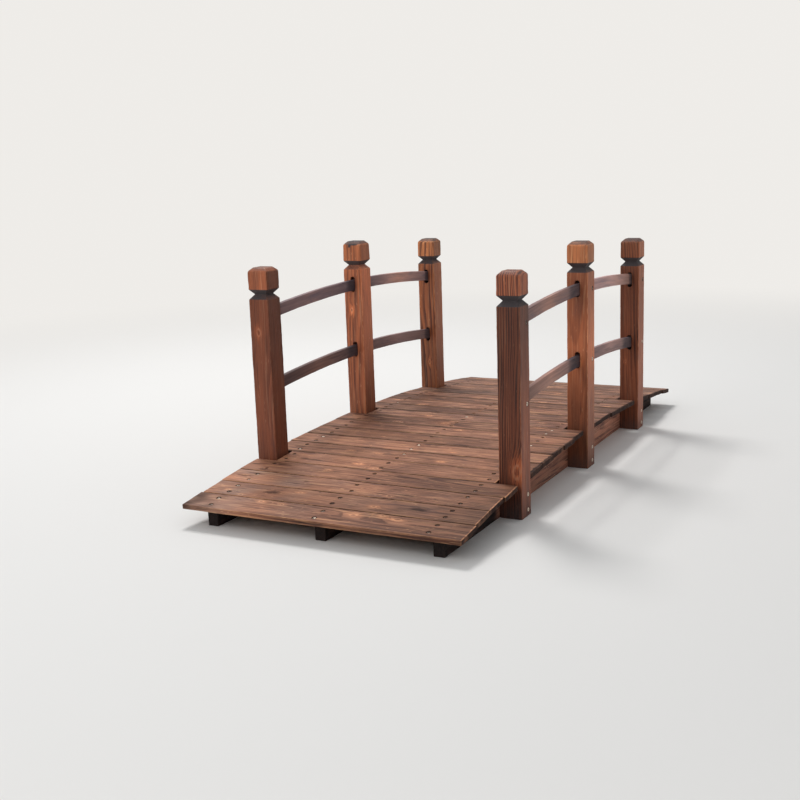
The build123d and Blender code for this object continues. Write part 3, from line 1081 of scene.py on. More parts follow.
def screw_steps(rim, middle, radius, depth):
    """Steps of a sunk screw hole: half way, just outside the mouth, over its eased edge and down."""
    outward = rim[:, 1:] - middle[1:]
    unit = outward / np.linalg.norm(outward, axis=1, keepdims=True)
    return [(0.5, unit * radius * 1.2, 0.0), (1.0, unit * (radius + 0.0005), 0.0),
            (1.0, unit * (radius + 0.0001), 0.0001), (1.0, unit * (radius - 0.0001), 0.0006),
            (1.0, unit * radius * 0.93, depth * 0.9)]


def sink_screw(block, centre, half_block, radius, depth):
    """Sink a screw hole in the u-high face of a board."""
    v, w = centre
    border, _ = block.open_cells(1, (v - half_block, v + half_block), (w - half_block, w + half_block))
    rim = block.points[border]
    middle = np.array([rim[:, 0].mean(), v, w])
    rings = mouth_rings(rim, middle, 1, screw_steps(rim, middle, radius, depth))
    block.cap(block.line(border, rings), middle - (depth, 0, 0))


def cap_heights(height, sizes):
    """Heights of the top and the bottom of the square block of a post's cap."""
    block_top = height - sizes.cap_chamfer_rise
    return block_top, block_top - sizes.cap_block


def post_profile(height, sizes):
    """Stations of a post from its foot to its top, as heights and insets from its square section.
    Corners of the outline are rounded by quadratic curves."""
    block_top, block_bottom = cap_heights(height, sizes)
    groove_bottom = block_bottom - sizes.groove_height
    groove_middle = (block_bottom + groove_bottom) / 2
    corners = [
        (0.0, 0.0012, 0.0), (0.0012, 0.0, 0.001), (groove_bottom, 0.0, 0.0013),
        (groove_middle, sizes.groove_depth, 0.0008), (block_bottom, 0.0, 0.0020),
        (block_top, 0.0, 0.0036), (height, sizes.cap_chamfer_run, 0.0),
    ]
    return rounded_profile(corners, 0.0045)


def rounded_profile(corners, step):
    """Carry a line through corners given as (w, inset, rounding). Straight runs get even stations. A
    rounded corner is the quadratic curve (1-t)^2 a + 2t(1-t) c + t^2 b from before it to after it."""
    path = [np.array(corners[0][:2])]
    for before, corner, after in zip(corners[:-2], corners[1:-1], corners[2:]):
        middle, rounding = np.array(corner[:2]), corner[2]
        back, forth = np.array(before[:2]) - middle, np.array(after[:2]) - middle
        back_length, forth_length = np.linalg.norm(back), np.linalg.norm(forth)
        start = middle + back / back_length * min(rounding, back_length * 0.48)
        end = middle + forth / forth_length * min(rounding, forth_length * 0.48)
        path.extend(straight_run(path[-1], start, step))
        t = np.linspace(0, 1, 5)[1:, None]
        path.extend((1 - t) ** 2 * start + 2 * t * (1 - t) * middle + t**2 * end)
    path.extend(straight_run(path[-1], np.array(corners[-1][:2]), step))
    return np.array(path)


def straight_run(start, end, step):
    """Even points from just after start up to end, with one more close to each."""
    length = np.linalg.norm(end - start)
    if length < 3 * FLAT_GUARD:
        return [end]
    shares = spaced(FLAT_GUARD / length, 1 - FLAT_GUARD / length, step / length)
    return [start + (end - start) * share for share in (*shares, 1.0)]


# Half sizes of the patches of a post's grid that give way to openings
SLOT_PATCH_WIDTH = 0.0125
SLOT_PATCH_HEIGHT = 0.028
SCREW_PATCH_WIDTH = 0.0075
SCREW_PATCH_HEIGHT = 0.009

# Radius and depth of the screw holes in a post, how far its screw heads lie below the face, and the
# radius of the heads
POST_SCREW_RADIUS = 0.0054
POST_SCREW_DEPTH = 0.0021
POST_SCREW_SINK = 0.0004
POST_SCREW_HEAD = 0.0046

# Heights of the two screws at the foot of a post, the room under a rail in its slot, and the depth of
# the eased edge of a slot
FOOT_SCREWS = (0.0135, 0.047)
RAIL_SEAT = 0.0003
SLOT_EDGE = 0.0007

# Heights at which the brightness of a post is given
TONE_HEIGHTS = (0.04, 0.16, 0.30, 0.42)

# For each post: its brightness at those heights and on the cap, how much brighter or darker the sides
# that face across the bridge are at the foot, at the groove and on the cap, the stain on its top and in
# its groove, its tint on the body and on the cap, and its grain strength. The brightnesses and the side
# factors hold painted light and shade as well as the post's own tone.
POST_SHADING_AND_FINISHES = {
    "left_front_post": ((0.80, 0.92, 0.82, 0.75), 1.42, (0.78, 0.70, 0.43), 0.48, 0.72, (0.0, 0.2), 0.5),
    "left_middle_post": ((1.46, 1.54, 2.00, 1.90), 1.82, (0.38, 1.26, 0.74), 0.77, 0.45, (0.25, 0.45), 0.7),
    "left_back_post": ((1.06, 1.16, 1.50, 1.36), 2.35, (1.05, 1.08, 0.65), 0.72, 0.75, (0.5, 1.0), 1.0),
    "right_front_post": ((0.42, 0.72, 0.57, 0.54), 1.38, (2.08, 1.12, 1.16), 0.34, 1.0, (0.0, 0.1), 1.2),
    "right_middle_post": ((0.60, 0.98, 1.95, 1.22), 2.12, (1.34, 1.34, 0.80), 0.69, 1.0, (0.3, 0.85), 0.5),
    "right_back_post": ((0.66, 0.88, 0.74, 0.68), 0.90, (1.70, 1.95, 1.78), 0.60, 1.0, (0.1, 0.3), 0.8),
}

# For each post: the place of the pith beside its section, its lean, and its knots (v, w, radius)
POST_GRAINS = {
    "left_front_post": ((0.085, 0.015), (0.01, 0.004), [(0.004, 0.375, 0.0042)]),
    "left_middle_post": ((0.05, -0.035), (0.006, 0.012), [(0.006, 0.37, 0.003)]),
    "left_back_post": ((0.06, 0.03), (-0.012, 0.01), [(-0.004, 0.16, 0.0028)]),
    "right_front_post": ((0.012, 0.13), (0.004, -0.012), [(-0.0150, 0.103, 0.0075)]),
    "right_middle_post": ((0.055, 0.02), (0.02, -0.02), [(-0.006, 0.262, 0.0024)]),
    "right_back_post": ((0.04, -0.06), (0.01, 0.015), [(0.010, 0.19, 0.0018)]),
}

# Dark torn marks on the front face of a post, as for the boards
POST_MARKS = {
    "left_middle_post": ((0.0065, 0.5365, 0.0045, 0.0060, 1.0), (0.0, 0.5412, 0.019, 0.0030, 0.8)),
}

# Places along a rail at which its brightness and its cool tint are given, and their values: behind the
# front post, half way, before and behind the middle post, half way, and before the back post. The last
# values are how far painted shade reaches before the middle post, before the back post, behind the
# front post and behind the middle post.
RAIL_PLACES = (-0.41, -0.22, -0.06, 0.05, 0.22, 0.40)
RAIL_SHADING_AND_FINISHES = {
    "left_upper_rail": (
        (0.88, 1.42, 0.78, 0.90, 2.50, 0.98), (0.75, 0.5, 0.85, 0.8, 0.0, 0.6), (0.06, 0.03), (0.05, 0.05)),
    "left_lower_rail": (
        (0.42, 0.98, 0.62, 0.74, 1.32, 0.78), (0.5, 0.1, 0.6, 0.5, 0.4, 0.35), (0.08, 0.05), (0.03, 0.03)),
    "right_upper_rail": (
        (0.86, 1.84, 0.92, 2.25, 2.5, 1.2), (0.5, 0.0, 0.5, 0.5, 0.4, 0.0), (0.12, 0.04), (0.06, 0.03)),
    "right_lower_rail": (
        (0.50, 1.9, 0.86, 1.02, 1.78, 0.9), (0.1, 0.0, 0.4, 0.5, 0.3, 0.4), (0.12, 0.13), (0.03, 0.03)),
}


# Steps of the grids of a rail and of a bearer, through them, up them and along them, and the room
# between a bearer and the boards
RAIL_STEPS = (0.003, 0.0035, 0.008)
BEARER_STEPS = (0.004, 0.006, 0.012)
ROOM_UNDER_DECK = 0.0001

# Rounds that settle the depth of a rail's section
DEPTH_ROUNDS = 20


def rail_depth():
    """Height of a rail's section: what its box leaves when the fall of its ends is taken away.
    With outer radius R + d/2 and half angle a, the box is R + d/2 - (R - d/2) cos a high."""
    low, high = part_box(RAIL_NODES[0])
    sizes = bpy.context.scene.footbridge_sizes
    radius, box_height, end = sizes.rail_radius, high.z - low.z, high.x
    depth = 0.0
    for _ in range(DEPTH_ROUNDS):
        cosine = math.sqrt(1 - (end / (radius + depth / 2)) ** 2)
        depth = 2 * (box_height - radius * (1 - cosine)) / (1 + cosine)
    return depth


def make_post(node, sizes, material):
    """A square post. Slots for the rails go in from the faces towards its neighbours, and sunk holes
    take the screws in its outer face."""
    number = POST_NODES.index(node)
    low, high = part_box(node)
    centre = (low + high) / 2
    half_size, height = (high.x - low.x) / 2, high.z - low.z
    outer = 1 if centre.y > 0 else -1
    rail_low, rail_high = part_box(RAIL_NODES[0])
    slot_half = sizes.slot_side_clearance + (rail_high.y - rail_low.y) / 2
    slots, screws = post_slots(node, sizes), post_screws(node, sizes)
    stops = [middle + side * SLOT_PATCH_HEIGHT for middle in slots for side in (-1, 1)]
    stops += [w + side * SCREW_PATCH_HEIGHT for _, w in screws for side in (-1, 1)]
    stations = with_stops(post_profile(height, sizes), sorted(stops))
    places = eased_places(half_size, sizes.post_rounding, 0.004)
    block = Block(places, places, stations[:, 0])
    block.points = mill_post(block, stations, half_size, height, number, sizes)
    towards = {"front": (1,), "middle": (1, 3), "back": (3,)}[node.split("_")[1]]
    for slot_middle in slots:
        cut_slot(block, towards, half_size, slot_middle, slot_half, sizes)
    for screw in screws:
        sink_post_screw(block, outer, screw, POST_SCREW_RADIUS, POST_SCREW_DEPTH)

    points = block.points
    section_half = half_size - np.interp(points[:, 2], stations[:, 0], stations[:, 1])
    local_half = np.column_stack([section_half, section_half, np.full(len(points), height / 2)])
    clearance = edge_clearance(points - (0, 0, height / 2), local_half)
    body_tones, cap_tone, side_factors, top_stain, groove_stain, tints, grain = POST_SHADING_AND_FINISHES[node]
    pith, lean, knots = POST_GRAINS[node]
    stain = np.max([
        post_stain_and_shade(points, half_size, POST_MARKS.get(node, ())),
        groove_stains_and_shade(points, half_size, height, groove_stain, sizes),
        slot_stains_and_shade(points, half_size, slots, slot_half, towards, sizes),
        post_hole_stain_and_shade(points, half_size, outer, screws),
        top_stain * cap_end_grain(points, height, sizes),
    ], axis=0)
    block_bottom = cap_heights(height, sizes)[1]
    on_cap = ease(points[:, 2], block_bottom - 0.002, block_bottom + 0.001)
    on_side = ease(np.abs(points[:, 1]), half_size - 0.0022, half_size - 0.0004)
    # Painted light and shade with the post's own tone: darker at the foot under the deck, and each face and
    # the cap as bright as the light on it
    tone = post_tone(points, body_tones, cap_tone, side_factors, on_cap, on_side)
    tint = tints[0] + (tints[1] - tints[0]) * on_cap
    grain = grain * (1 - 0.6 * on_side)
    knot_spread = 1 + 8 * ease(points[:, 0], 0.0005 - half_size, 0.004 - half_size)
    layers = wood_layers(points, FIRST_LOGS["post"] + number, pith, clearance, stain, lean, tone, tint,
                         grain, knots, knot_spread)
    placed = place_points(points, POST_AXES, 0.0, (centre.x, centre.y, low.z))
    return make_piece(f"{node}_worn", placed, block.all_quads(), layers, material, [node])


def mill_post(block, stations, half_size, height, number, sizes):
    """Points of a post. Its section is scaled at each station by the profile's inset, its upright
    edges are rounded, its top is crowned by the square of the distance from its middle, and its faces
    are uneven by a fraction of a millimetre."""
    points = block.points
    inset = np.interp(points[:, 2], stations[:, 0], stations[:, 1])
    inset[block.ring_index[-1]] = stations[-1, 1]
    sharp_half = half_size - inset
    scale = sharp_half / half_size
    block_bottom = cap_heights(height, sizes)[1]
    varied = wander(sizes.post_rounding * scale, points, "post", number, (0.3, 0.05), (0.18, 0.013))
    varied *= 1 + 0.6 * ease(points[:, 2], block_bottom - 0.002, block_bottom + 0.004)
    varied = np.maximum(varied, 0.0004)[:, None]
    section = round_edges(points[:, :2] * scale[:, None], sharp_half[:, None], varied)
    on_top = np.clip((points[:, 2] - height + 0.0001) / 0.0001, 0, 1)
    reach = np.linalg.norm(section, axis=1) / (half_size - sizes.cap_chamfer_run)
    points = np.column_stack([section, points[:, 2] - on_top * 0.0008 * reach**2])
    hollows = ripple(points, "post_hollows", number, 0.06) + ripple(points, "post_fine_hollows", number, 0.02)
    inward = np.minimum(0.00007 * hollows - 0.00016, -0.00002)
    points[:, :2] *= 1 + (inward / half_size)[:, None]
    return points


def post_tone(points, body_tones, cap_tone, side_factors, on_cap, on_side):
    """Brightness of a post: by height on its body, one value on its cap, and times a factor, by height
    too, on the sides that face across the bridge. It holds painted light and shade as well as the
    post's own tone."""
    w = points[:, 2]
    body_tone = np.interp(w, TONE_HEIGHTS, body_tones)
    side_factor = np.interp(w, (TONE_HEIGHTS[0], TONE_HEIGHTS[-1]), side_factors[:2])
    side_factor += (side_factors[2] - side_factor) * on_cap
    return (body_tone + (cap_tone - body_tone) * on_cap) * (1 + (side_factor - 1) * on_side)


def post_stain_and_shade(points, half_size, marks):
    """Painted shade with dirt at the foot of a post, under the deck, and stain in the marks on its front
    face.
    """
    u, _, w = points.T
    # Painted shade with dirt at the foot
    foot = ease(-w, -0.07, -0.005) * 0.42
    marks = worn_marks(points, marks, "post_marks", 0) * (u < 0.004 - half_size)
    return np.maximum(foot, marks)


def groove_stains_and_shade(points, half_size, height, lower_stain, sizes):
    """Dark in the groove of a post: full on the upper slope, which faces down, as stain with painted
    shade, and stain as given on the lower one, with less on the right side."""
    _, v, w = points.T
    half_groove = sizes.groove_height / 2
    middle = cap_heights(height, sizes)[1] - half_groove
    groove = ease(-np.abs(w - middle), -half_groove - 0.001, -half_groove + 0.0012)
    lower = lower_stain * (1 - 0.4 * ease(-v, half_size - 0.012, half_size - 0.002))
    # Painted shade with stain on the upper slope, stain on the lower one
    return groove * np.where(w > middle, 1.0, lower)


def slot_stains_and_shade(points, half_size, slots, slot_half, towards, sizes):
    """Dark on the lining of each slot of a post, full, and in a narrow halo round its mouth: stain with
    painted shade.
    """
    u, v, w = points.T
    inside = np.min(half_size - np.abs(points[:, :2]), axis=1)
    straight = sizes.slot_height / 2 - slot_half
    signs = [1 if side == 1 else -1 for side in towards]
    faces_rail = np.max([ease(u * sign, half_size - 0.002, half_size - 0.0006)
                         for sign in signs], axis=0)
    stain = np.zeros(len(points))
    for middle in slots:
        beside = np.hypot(np.maximum(np.abs(w - middle) - straight, 0), v)
        # Painted shade with stain in the halo and the lining
        halo = ease(-beside, -slot_half - 0.0011, -slot_half + 0.0006) * 0.6 * faces_rail
        lining = ease(-beside, -slot_half - 0.0008, -slot_half) * ease(inside, 0.0004, 0.003)
        stain = np.max([stain, halo, lining], axis=0)
    return stain


def post_hole_stain_and_shade(points, half_size, outer, screws):
    """Dark in the screw holes of a post and on a narrow rim round each: stain with painted shade."""
    stain = np.zeros(len(points))
    for u, w in screws:
        distance = np.hypot(points[:, 0] - u, points[:, 2] - w)
        stain = np.maximum(stain, ease(-distance, -POST_SCREW_RADIUS - 0.0007, -POST_SCREW_RADIUS + 0.0003))
    return 0.9 * stain * (outer * points[:, 1] > half_size - 0.004)


def cap_end_grain(points, height, sizes):
    """How much of the end grain's stain a cap takes: most on its slopes, and all on its flat top."""
    w = points[:, 2]
    block_top = cap_heights(height, sizes)[0]
    end_grain = 0.8 * ease(w, block_top - 0.0005, block_top + 0.003)
    return end_grain + 0.2 * ease(w, height - 0.0022, height - 0.0006)


def with_stops(profile, stops):
    """Move the nearest station of a straight run onto each stop, so that openings have even borders."""
    stations = profile.copy()
    for stop in stops:
        flat = np.flatnonzero(stations[:, 1] < 1e-6)
        nearest = flat[np.argmin(np.abs(stations[flat, 0] - stop))]
        stations[nearest, 0] = stop
    return stations[np.argsort(stations[:, 0], kind="stable")]


def rail_height(high, x, sizes):
    """Height of the middle of a rail at a place along the bridge, from the top corner of its box."""
    radius = sizes.rail_radius
    return high.z - rail_depth() / 2 - radius + math.sqrt(radius**2 - x**2)


def post_slots(node, sizes):
    """Heights of the middles of the slots in a post. A rail rests on the round bottom of its slot."""
    side = node.split("_")[0]
    post_low, post_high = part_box(node)
    middles = []
    for level in ("upper", "lower"):
        low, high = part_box(f"{side}_{level}_rail")
        far = min(max(abs(post_low.x), abs(post_high.x)), high.x)
        underside = rail_height(high, far, sizes) - rail_depth() / 2
        half_rail = (high.y - low.y) / 2
        half_width = sizes.slot_side_clearance + half_rail
        corner_rise = half_width - math.sqrt(half_width**2 - half_rail**2)
        middles.append(underside - corner_rise - RAIL_SEAT + sizes.slot_height / 2)
    return middles


def post_screws(node, sizes):
    """Places (u, w) of the screws in a post's outer face: one at each rail and two at the foot."""
    side = node.split("_")[0]
    low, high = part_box(node)
    offset = sizes.post_screw_offset
    x = (low.x + high.x) / 2 + offset
    tops = [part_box(f"{side}_{level}_rail")[1] for level in ("upper", "lower")]
    heights = [rail_height(top, x, sizes) for top in tops]
    return [(offset, height) for height in (*heights, *FOOT_SCREWS)]


def cut_slot(block, sides, half_size, middle, half_width, sizes):
    """Cut a slot with round ends into one side of a post, or through it from both. The lining goes
    from the border of left-out cells to the slot's eased edge, and from there straight in."""
    half_height = sizes.slot_height / 2
    w_range = (middle - SLOT_PATCH_HEIGHT, middle + SLOT_PATCH_HEIGHT)
    linings = {}
    for side in sides:
        facing = 1 if side == 1 else -1
        border, columns = block.open_cells(side, (-SLOT_PATCH_WIDTH, SLOT_PATCH_WIDTH), w_range)
        rim = block.points[border]
        face = np.array([rim[:, 0].mean(), 0.0, middle])
        outward = rim[:, 1:] - face[1:]
        wide, eased, straight = (
            ray_outline(outward, half_width + more, half_height + more) for more in (0.0007, 0.0001, 0.0))
        steps = [(0.5, wide, 0.0), (1.0, wide, 0.0), (1.0, eased, 0.0001), (1.0, straight, SLOT_EDGE)]
        rings = mouth_rings(rim, face, facing, steps)
        linings[side] = (block.line(border, rings), columns, straight, facing)
    if len(sides) == 2:
        near, columns, _, _ = linings[1]
        far = linings[3][0]
        mirrored = (columns - np.arange(len(near))) % len(near)
        block.bridge(np.array([near, far[mirrored]]))
    else:
        loop, _, outline, facing = linings[sides[0]]
        rings = []
        for depth in np.linspace(SLOT_EDGE, sizes.slot_depth, 6)[1:]:
            u = np.full(len(loop), facing * (half_size - depth))
            rings.append(np.column_stack([u, outline + (0.0, middle)]))
        bottom = (facing * (half_size - sizes.slot_depth), 0.0, middle)
        block.cap(block.line(loop, np.array(rings)), bottom)


def sink_post_screw(block, outer, centre, radius, depth):
    """Sink a screw hole in the outer face of a post, which is side 2 (v high) or 0 (v low)."""
    u, w = centre
    border, _ = block.open_cells(2 if outer > 0 else 0, (u - SCREW_PATCH_WIDTH, u + SCREW_PATCH_WIDTH),
                                 (w - SCREW_PATCH_HEIGHT, w + SCREW_PATCH_HEIGHT))
    rim = block.points[border][:, [1, 0, 2]]
    middle = np.array([rim[:, 0].mean(), u, w])
    rings = mouth_rings(rim, middle, outer, screw_steps(rim, middle, radius, depth))
    bottom = middle - (outer * depth, 0, 0)
    block.cap(block.line(border, rings[..., [1, 0, 2]]), bottom[[1, 0, 2]])


def make_rail(node, sizes, material):
    """A bent rail: a small rounded section carried along a circle in the plane of the posts. A point
    at height v and angle a lies at (R + v) sin a along the bridge and (R + v) cos a above the centre."""
    number = RAIL_NODES.index(node)
    low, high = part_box(node)
    depth, radius = rail_depth(), sizes.rail_radius
    half_length = radius * math.asin(high.x / (radius + depth / 2))
    half = np.array([(high.y - low.y) / 2, depth / 2, half_length])
    block = rounded_block(half, sizes.rail_rounding, RAIL_STEPS)
    varied = wander(sizes.rail_rounding, block.points, "rail", number, (0.3, 0.05), (0.2, 0.015))
    points = round_edges(block.points, half, np.clip(varied, 0.0006, half[0] * 0.7)[:, None])
    thinner = 0.012 * (1 + ripple(points, "rail_thinning", number, 0.12, ALONG))
    points[:, :2] *= (1 - thinner)[:, None]
    tones, tints, reaches_before, reaches_behind = RAIL_SHADING_AND_FINISHES[node]
    rng = seeded("rail", number)
    pith = (rng.uniform(0.03, 0.07), rng.uniform(-0.05, 0.05))
    stain = rail_painted_shade(points, node.split("_")[0], reaches_before, reaches_behind)
    tone = np.interp(points[:, 2], RAIL_PLACES, tones)
    tint = np.interp(points[:, 2], RAIL_PLACES, tints)
    layers = wood_layers(points, FIRST_LOGS["rail"] + number, pith, edge_clearance(points, half), stain,
                         tone=tone, tint=tint)
    angle = points[:, 2] / radius
    reach = radius + points[:, 1]
    middle_height = high.z - depth / 2
    placed = np.column_stack([
        reach * np.sin(angle),
        points[:, 0] + (low.y + high.y) / 2,
        middle_height - radius + reach * np.cos(angle),
    ])
    return make_piece(f"{node}_worn", placed, block.all_quads(), layers, material, [node])


def rail_painted_shade(points, side, reaches_before, reaches_behind):
    """Painted shade on a rail beside the posts, which fades out before the middle and the back post of
    its side, and behind the front and the middle post."""
    posts = [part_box(f"{side}_{place}_post") for place in ("front", "middle", "back")]
    before = [(low.x - points[:, 2], reach, 0.6) for (low, _), reach in zip(posts[1:], reaches_before)]
    behind = [(points[:, 2] - high.x, reach, 0.52) for (_, high), reach in zip(posts[:2], reaches_behind)]
    stains = [strength * ease(-distance, -reach, -0.4 * reach) * (distance > -0.01)
              for distance, reach, strength in before + behind]
    return np.max(stains, axis=0)


def make_bearer(node, deck, sizes, material):
    """A sawn plank on edge: flat below, its upper edge on the deck's arch. A point at share s of the
    height lies at s times the arch's height there."""
    number = BEARER_NODES.index(node)
    low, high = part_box(node)
    half = np.array([(high.y - low.y) / 2, high.z / 2, (high.x - low.x) / 2])
    block = rounded_block(half, sizes.bearer_rounding, BEARER_STEPS)
    points = block.points
    ones = np.ones(len(points))
    local_height = deck.underside(points[:, 2]) / 2 - ROOM_UNDER_DECK
    local_half = np.column_stack([ones * half[0], local_height, ones * half[2]])
    sharp = points * np.column_stack([ones, local_height / half[1], ones])
    varied = wander(sizes.bearer_rounding, points, "bearer", number, (0.4, 0.04), (0.25, 0.012))
    points = round_edges(sharp, local_half, np.maximum(varied, 0.0004)[:, None])
    points[:, 0] *= 1 - 0.006 * (1 + ripple(points, "bearer_thinning", number, 0.07))
    # Painted shade with stain: on the ends with their end grain, on the stretch beyond the posts under the
    # overhanging boards, and in a band along the top under the boards
    end_stain = ease(np.abs(points[:, 2]), half[2] - 0.012, half[2] - 0.0015)
    beyond_posts = ease(np.abs(points[:, 2]), 0.44, 0.50) * 0.72
    under_boards = ease(points[:, 1], local_height - 0.012, local_height) * 0.45
    stain = np.max([end_stain, beyond_posts, under_boards], axis=0)
    rng = seeded("bearer", number)
    pith = (rng.uniform(0.03, 0.08), rng.uniform(-0.05, 0.05))
    tone = np.interp(points[:, 2], (-0.1, 0.1), (1.25, 1.8))
    layers = wood_layers(points, FIRST_LOGS["bearer"] + number, pith, edge_clearance(points, local_half),
                         stain, lean=rng.uniform(-0.02, 0.02, 2), tone=tone, tint=0.2)
    placed = place_points(points, RAIL_AXES, 0.0, (0.0, (low.y + high.y) / 2, 0.0))
    placed[:, 2] = np.maximum(placed[:, 2] + local_height, 0.0)
    return make_piece(f"{node}_worn", placed, block.all_quads(), layers, material, [node])


def screw_head(radius):
    """One screw head about its own axis, in a polar grid of 16 directions. Its height is flat with a
    rounded rim, less a cross-shaped recess: deep where the nearer of |x| and |y| is small."""
    directions = np.arange(16) * math.pi / 8
    radii = (radius * np.array([0.2, 0.42, 0.62, 0.86, 1.0]))[:, None]
    heights = np.array([-0.0009, -0.0006, 0.0, 0.0, -0.0005])
    x = radii * np.cos(directions)
    y = radii * np.sin(directions)
    on_arm = np.arange(16) % 4 == 0
    z = np.where(on_arm | (radii > radius * 0.9), heights[:, None], 0.0)
    z[0] = heights[0]
    points = np.stack([x, y, z], axis=-1)
    skirt = points[-1:] * (1, 1, 0) + (0, 0, -0.0011)
    points = np.concatenate([points, skirt]).reshape(-1, 3)
    grid = np.arange(len(points)).reshape(-1, 16)
    closed = np.concatenate([grid, grid[:, :1]], axis=1)
    quads = grid_quads(closed)
    centre = len(points)
    points = np.concatenate([points, [(0, 0, -0.001), (0, 0, -0.0011)]])
    top_fan = fan_quads(grid[0], centre)
    low_fan = fan_quads(grid[-1], centre + 1)[:, [2, 1, 0, 3]]
    # The recess layer darkens the head by its depth, dirt with painted shade, and the rim and the skirt a
    # quarter
    recess = np.clip(-points[:, 2] / 0.0009, 0, 1)
    recess[grid[-2:].ravel()] = 0.25
    return points, np.concatenate([quads[:, ::-1], top_fan, low_fan]), recess


def scatter_screws(name, frames, ages, radius, material, kind):
    """All screws of one group as one mesh: the same head, turned at random about its axis and carried
    to each frame, which is a place, a direction out of the wood and a direction across it. Each screw
    is as dark with age as its own value, from 0 to 1, says."""
    head, quads, recess = screw_head(radius)
    rng = seeded(kind)
    all_points, all_quads = [], []
    for number, (place, out, across) in enumerate(frames):
        turn = rng.uniform(0, 2 * math.pi)
        side = np.cross(out, across)
        first = across * math.cos(turn) + side * math.sin(turn)
        second = np.cross(out, first)
        lean = rng.uniform(-0.06, 0.06, 2)
        tilted = head + np.column_stack([np.zeros((len(head), 2)), head[:, :2] @ lean])
        all_points.append(place + tilted @ np.array([first, second, out]))
        all_quads.append(quads + number * len(head))
    points = np.concatenate(all_points)
    age = np.repeat(ages, len(head))
    layers = {"recess": np.tile(recess, len(frames)), "age": age}
    return make_piece(name, points, np.concatenate(all_quads), layers, material, [])


def deck_screw_frames(deck, sizes):
    """A place, an outward and a crosswise direction for each deck screw, sunk below the boards."""
    frames = []
    rng = seeded("deck_screw_depths")
    for node in BOARD_NODES:
        _, tilt, centre = deck.board_frame(node)
        out = np.array([math.sin(tilt), 0.0, math.cos(tilt)])
        along = np.array([math.cos(tilt), 0.0, -math.sin(tilt)])
        for v, w in board_screws(node, sizes):
            height = deck.thickness / 2 - sizes.screw_sink * rng.uniform(0.7, 1.0)
            frames.append((np.array(centre) + along * v + np.array([0, w, 0]) + out * height, out, along))
    return frames


# Deck screws whose zinc still shines, as (board, row, screw) counted from the front right, and the ages
# of a post's screws from the top one down
BRIGHT_SCREWS = (
    (7, 0, 1), (9, 0, 0), (9, 0, 1), (15, 0, 0), (15, 0, 1), (5, 1, 1), (6, 1, 0), (6, 1, 1), (10, 1, 1),
    (5, 2, 0), (6, 2, 1), (12, 2, 0),
)
POST_SCREW_AGES = (0.7, 0.3, 0.0, 0.0)


def deck_screw_ages():
    """How dark each deck screw is, as an array by board, row and screw: nearly all are dull, those in
    the middle and left rows of the front boards less so, and a few shine."""
    rng = seeded("deck_screw_ages")
    ages = np.full((len(BOARD_NODES), 3, 2), 0.92)
    ages[:3, 2] = 0.66
    ages[0, 1] = 0.55
    ages += rng.uniform(-0.12, 0.12, ages.shape)
    for place in BRIGHT_SCREWS:
        ages[place] = (0.05, 0.3, 0.2)[place[1]]
    return np.clip(ages, 0, 1).ravel()


def post_screw_frames(sizes):
    """A place, an outward and a crosswise direction for each post screw, just below the face."""
    frames = []
    for node in POST_NODES:
        low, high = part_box(node)
        outer = 1.0 if low.y > 0 else -1.0
        face = high.y if outer > 0 else low.y
        for u, w in post_screws(node, sizes):
            place = np.array([(low.x + high.x) / 2 + u, face - outer * POST_SCREW_SINK, w])
            frames.append((place, np.array([0.0, outer, 0.0]), np.array([1.0, 0.0, 0.0])))
    return frames


# The place of the camera, its angles in degrees, and its lens and sensor in millimetres
CAMERA_PLACE = (-2.62233, -1.18624, 0.74908)
CAMERA_HEADING = 27.718
CAMERA_TILT = 11.763
CAMERA_ROLL = -2.016
CAMERA_LENS = 51.70
SENSOR_WIDTH = 36.0

# Radii of the flat rings of the studio floor, the radius of its sweep and the height of its wall, and
# the distances from the middle at which the backdrop begins to glow and glows in full
FLOOR_RADII = (0.4, 1.2, 2.6, 4.5, 7.0)
FLOOR_SWEEP = 3.0
WALL_HEIGHT = 2.0
GLOW_START = 1.3
GLOW_END = 4.0


def placed_axes(place, x_axis, y_axis, z_axis):
    """The matrix of an object at a place, with its own three axes along the given ones."""
    rotation = Matrix([x_axis, y_axis, z_axis]).transposed()
    return Matrix.Translation(place) @ rotation.to_4x4()


def make_camera():
    """A camera with its heading from +X towards +Y, its tilt below the horizon and a slight roll."""
    heading, tilt, roll = (math.radians(angle) for angle in (CAMERA_HEADING, CAMERA_TILT, CAMERA_ROLL))
    level = np.array([math.cos(heading), math.sin(heading), 0.0])
    side = np.array([math.sin(heading), -math.cos(heading), 0.0])
    up = np.array([0.0, 0.0, 1.0])
    forward = math.cos(tilt) * level - math.sin(tilt) * up
    upright = math.sin(tilt) * level + math.cos(tilt) * up
    right = math.cos(roll) * side + math.sin(roll) * upright
    top = -math.sin(roll) * side + math.cos(roll) * upright
    data = bpy.data.cameras.new("camera")
    data.lens = CAMERA_LENS
    data.sensor_width = SENSOR_WIDTH
    data.clip_end = 60.0
    camera = add_object("camera", data)
    camera.matrix_world = placed_axes(CAMERA_PLACE, right, top, -forward)
    bpy.context.scene.camera = camera


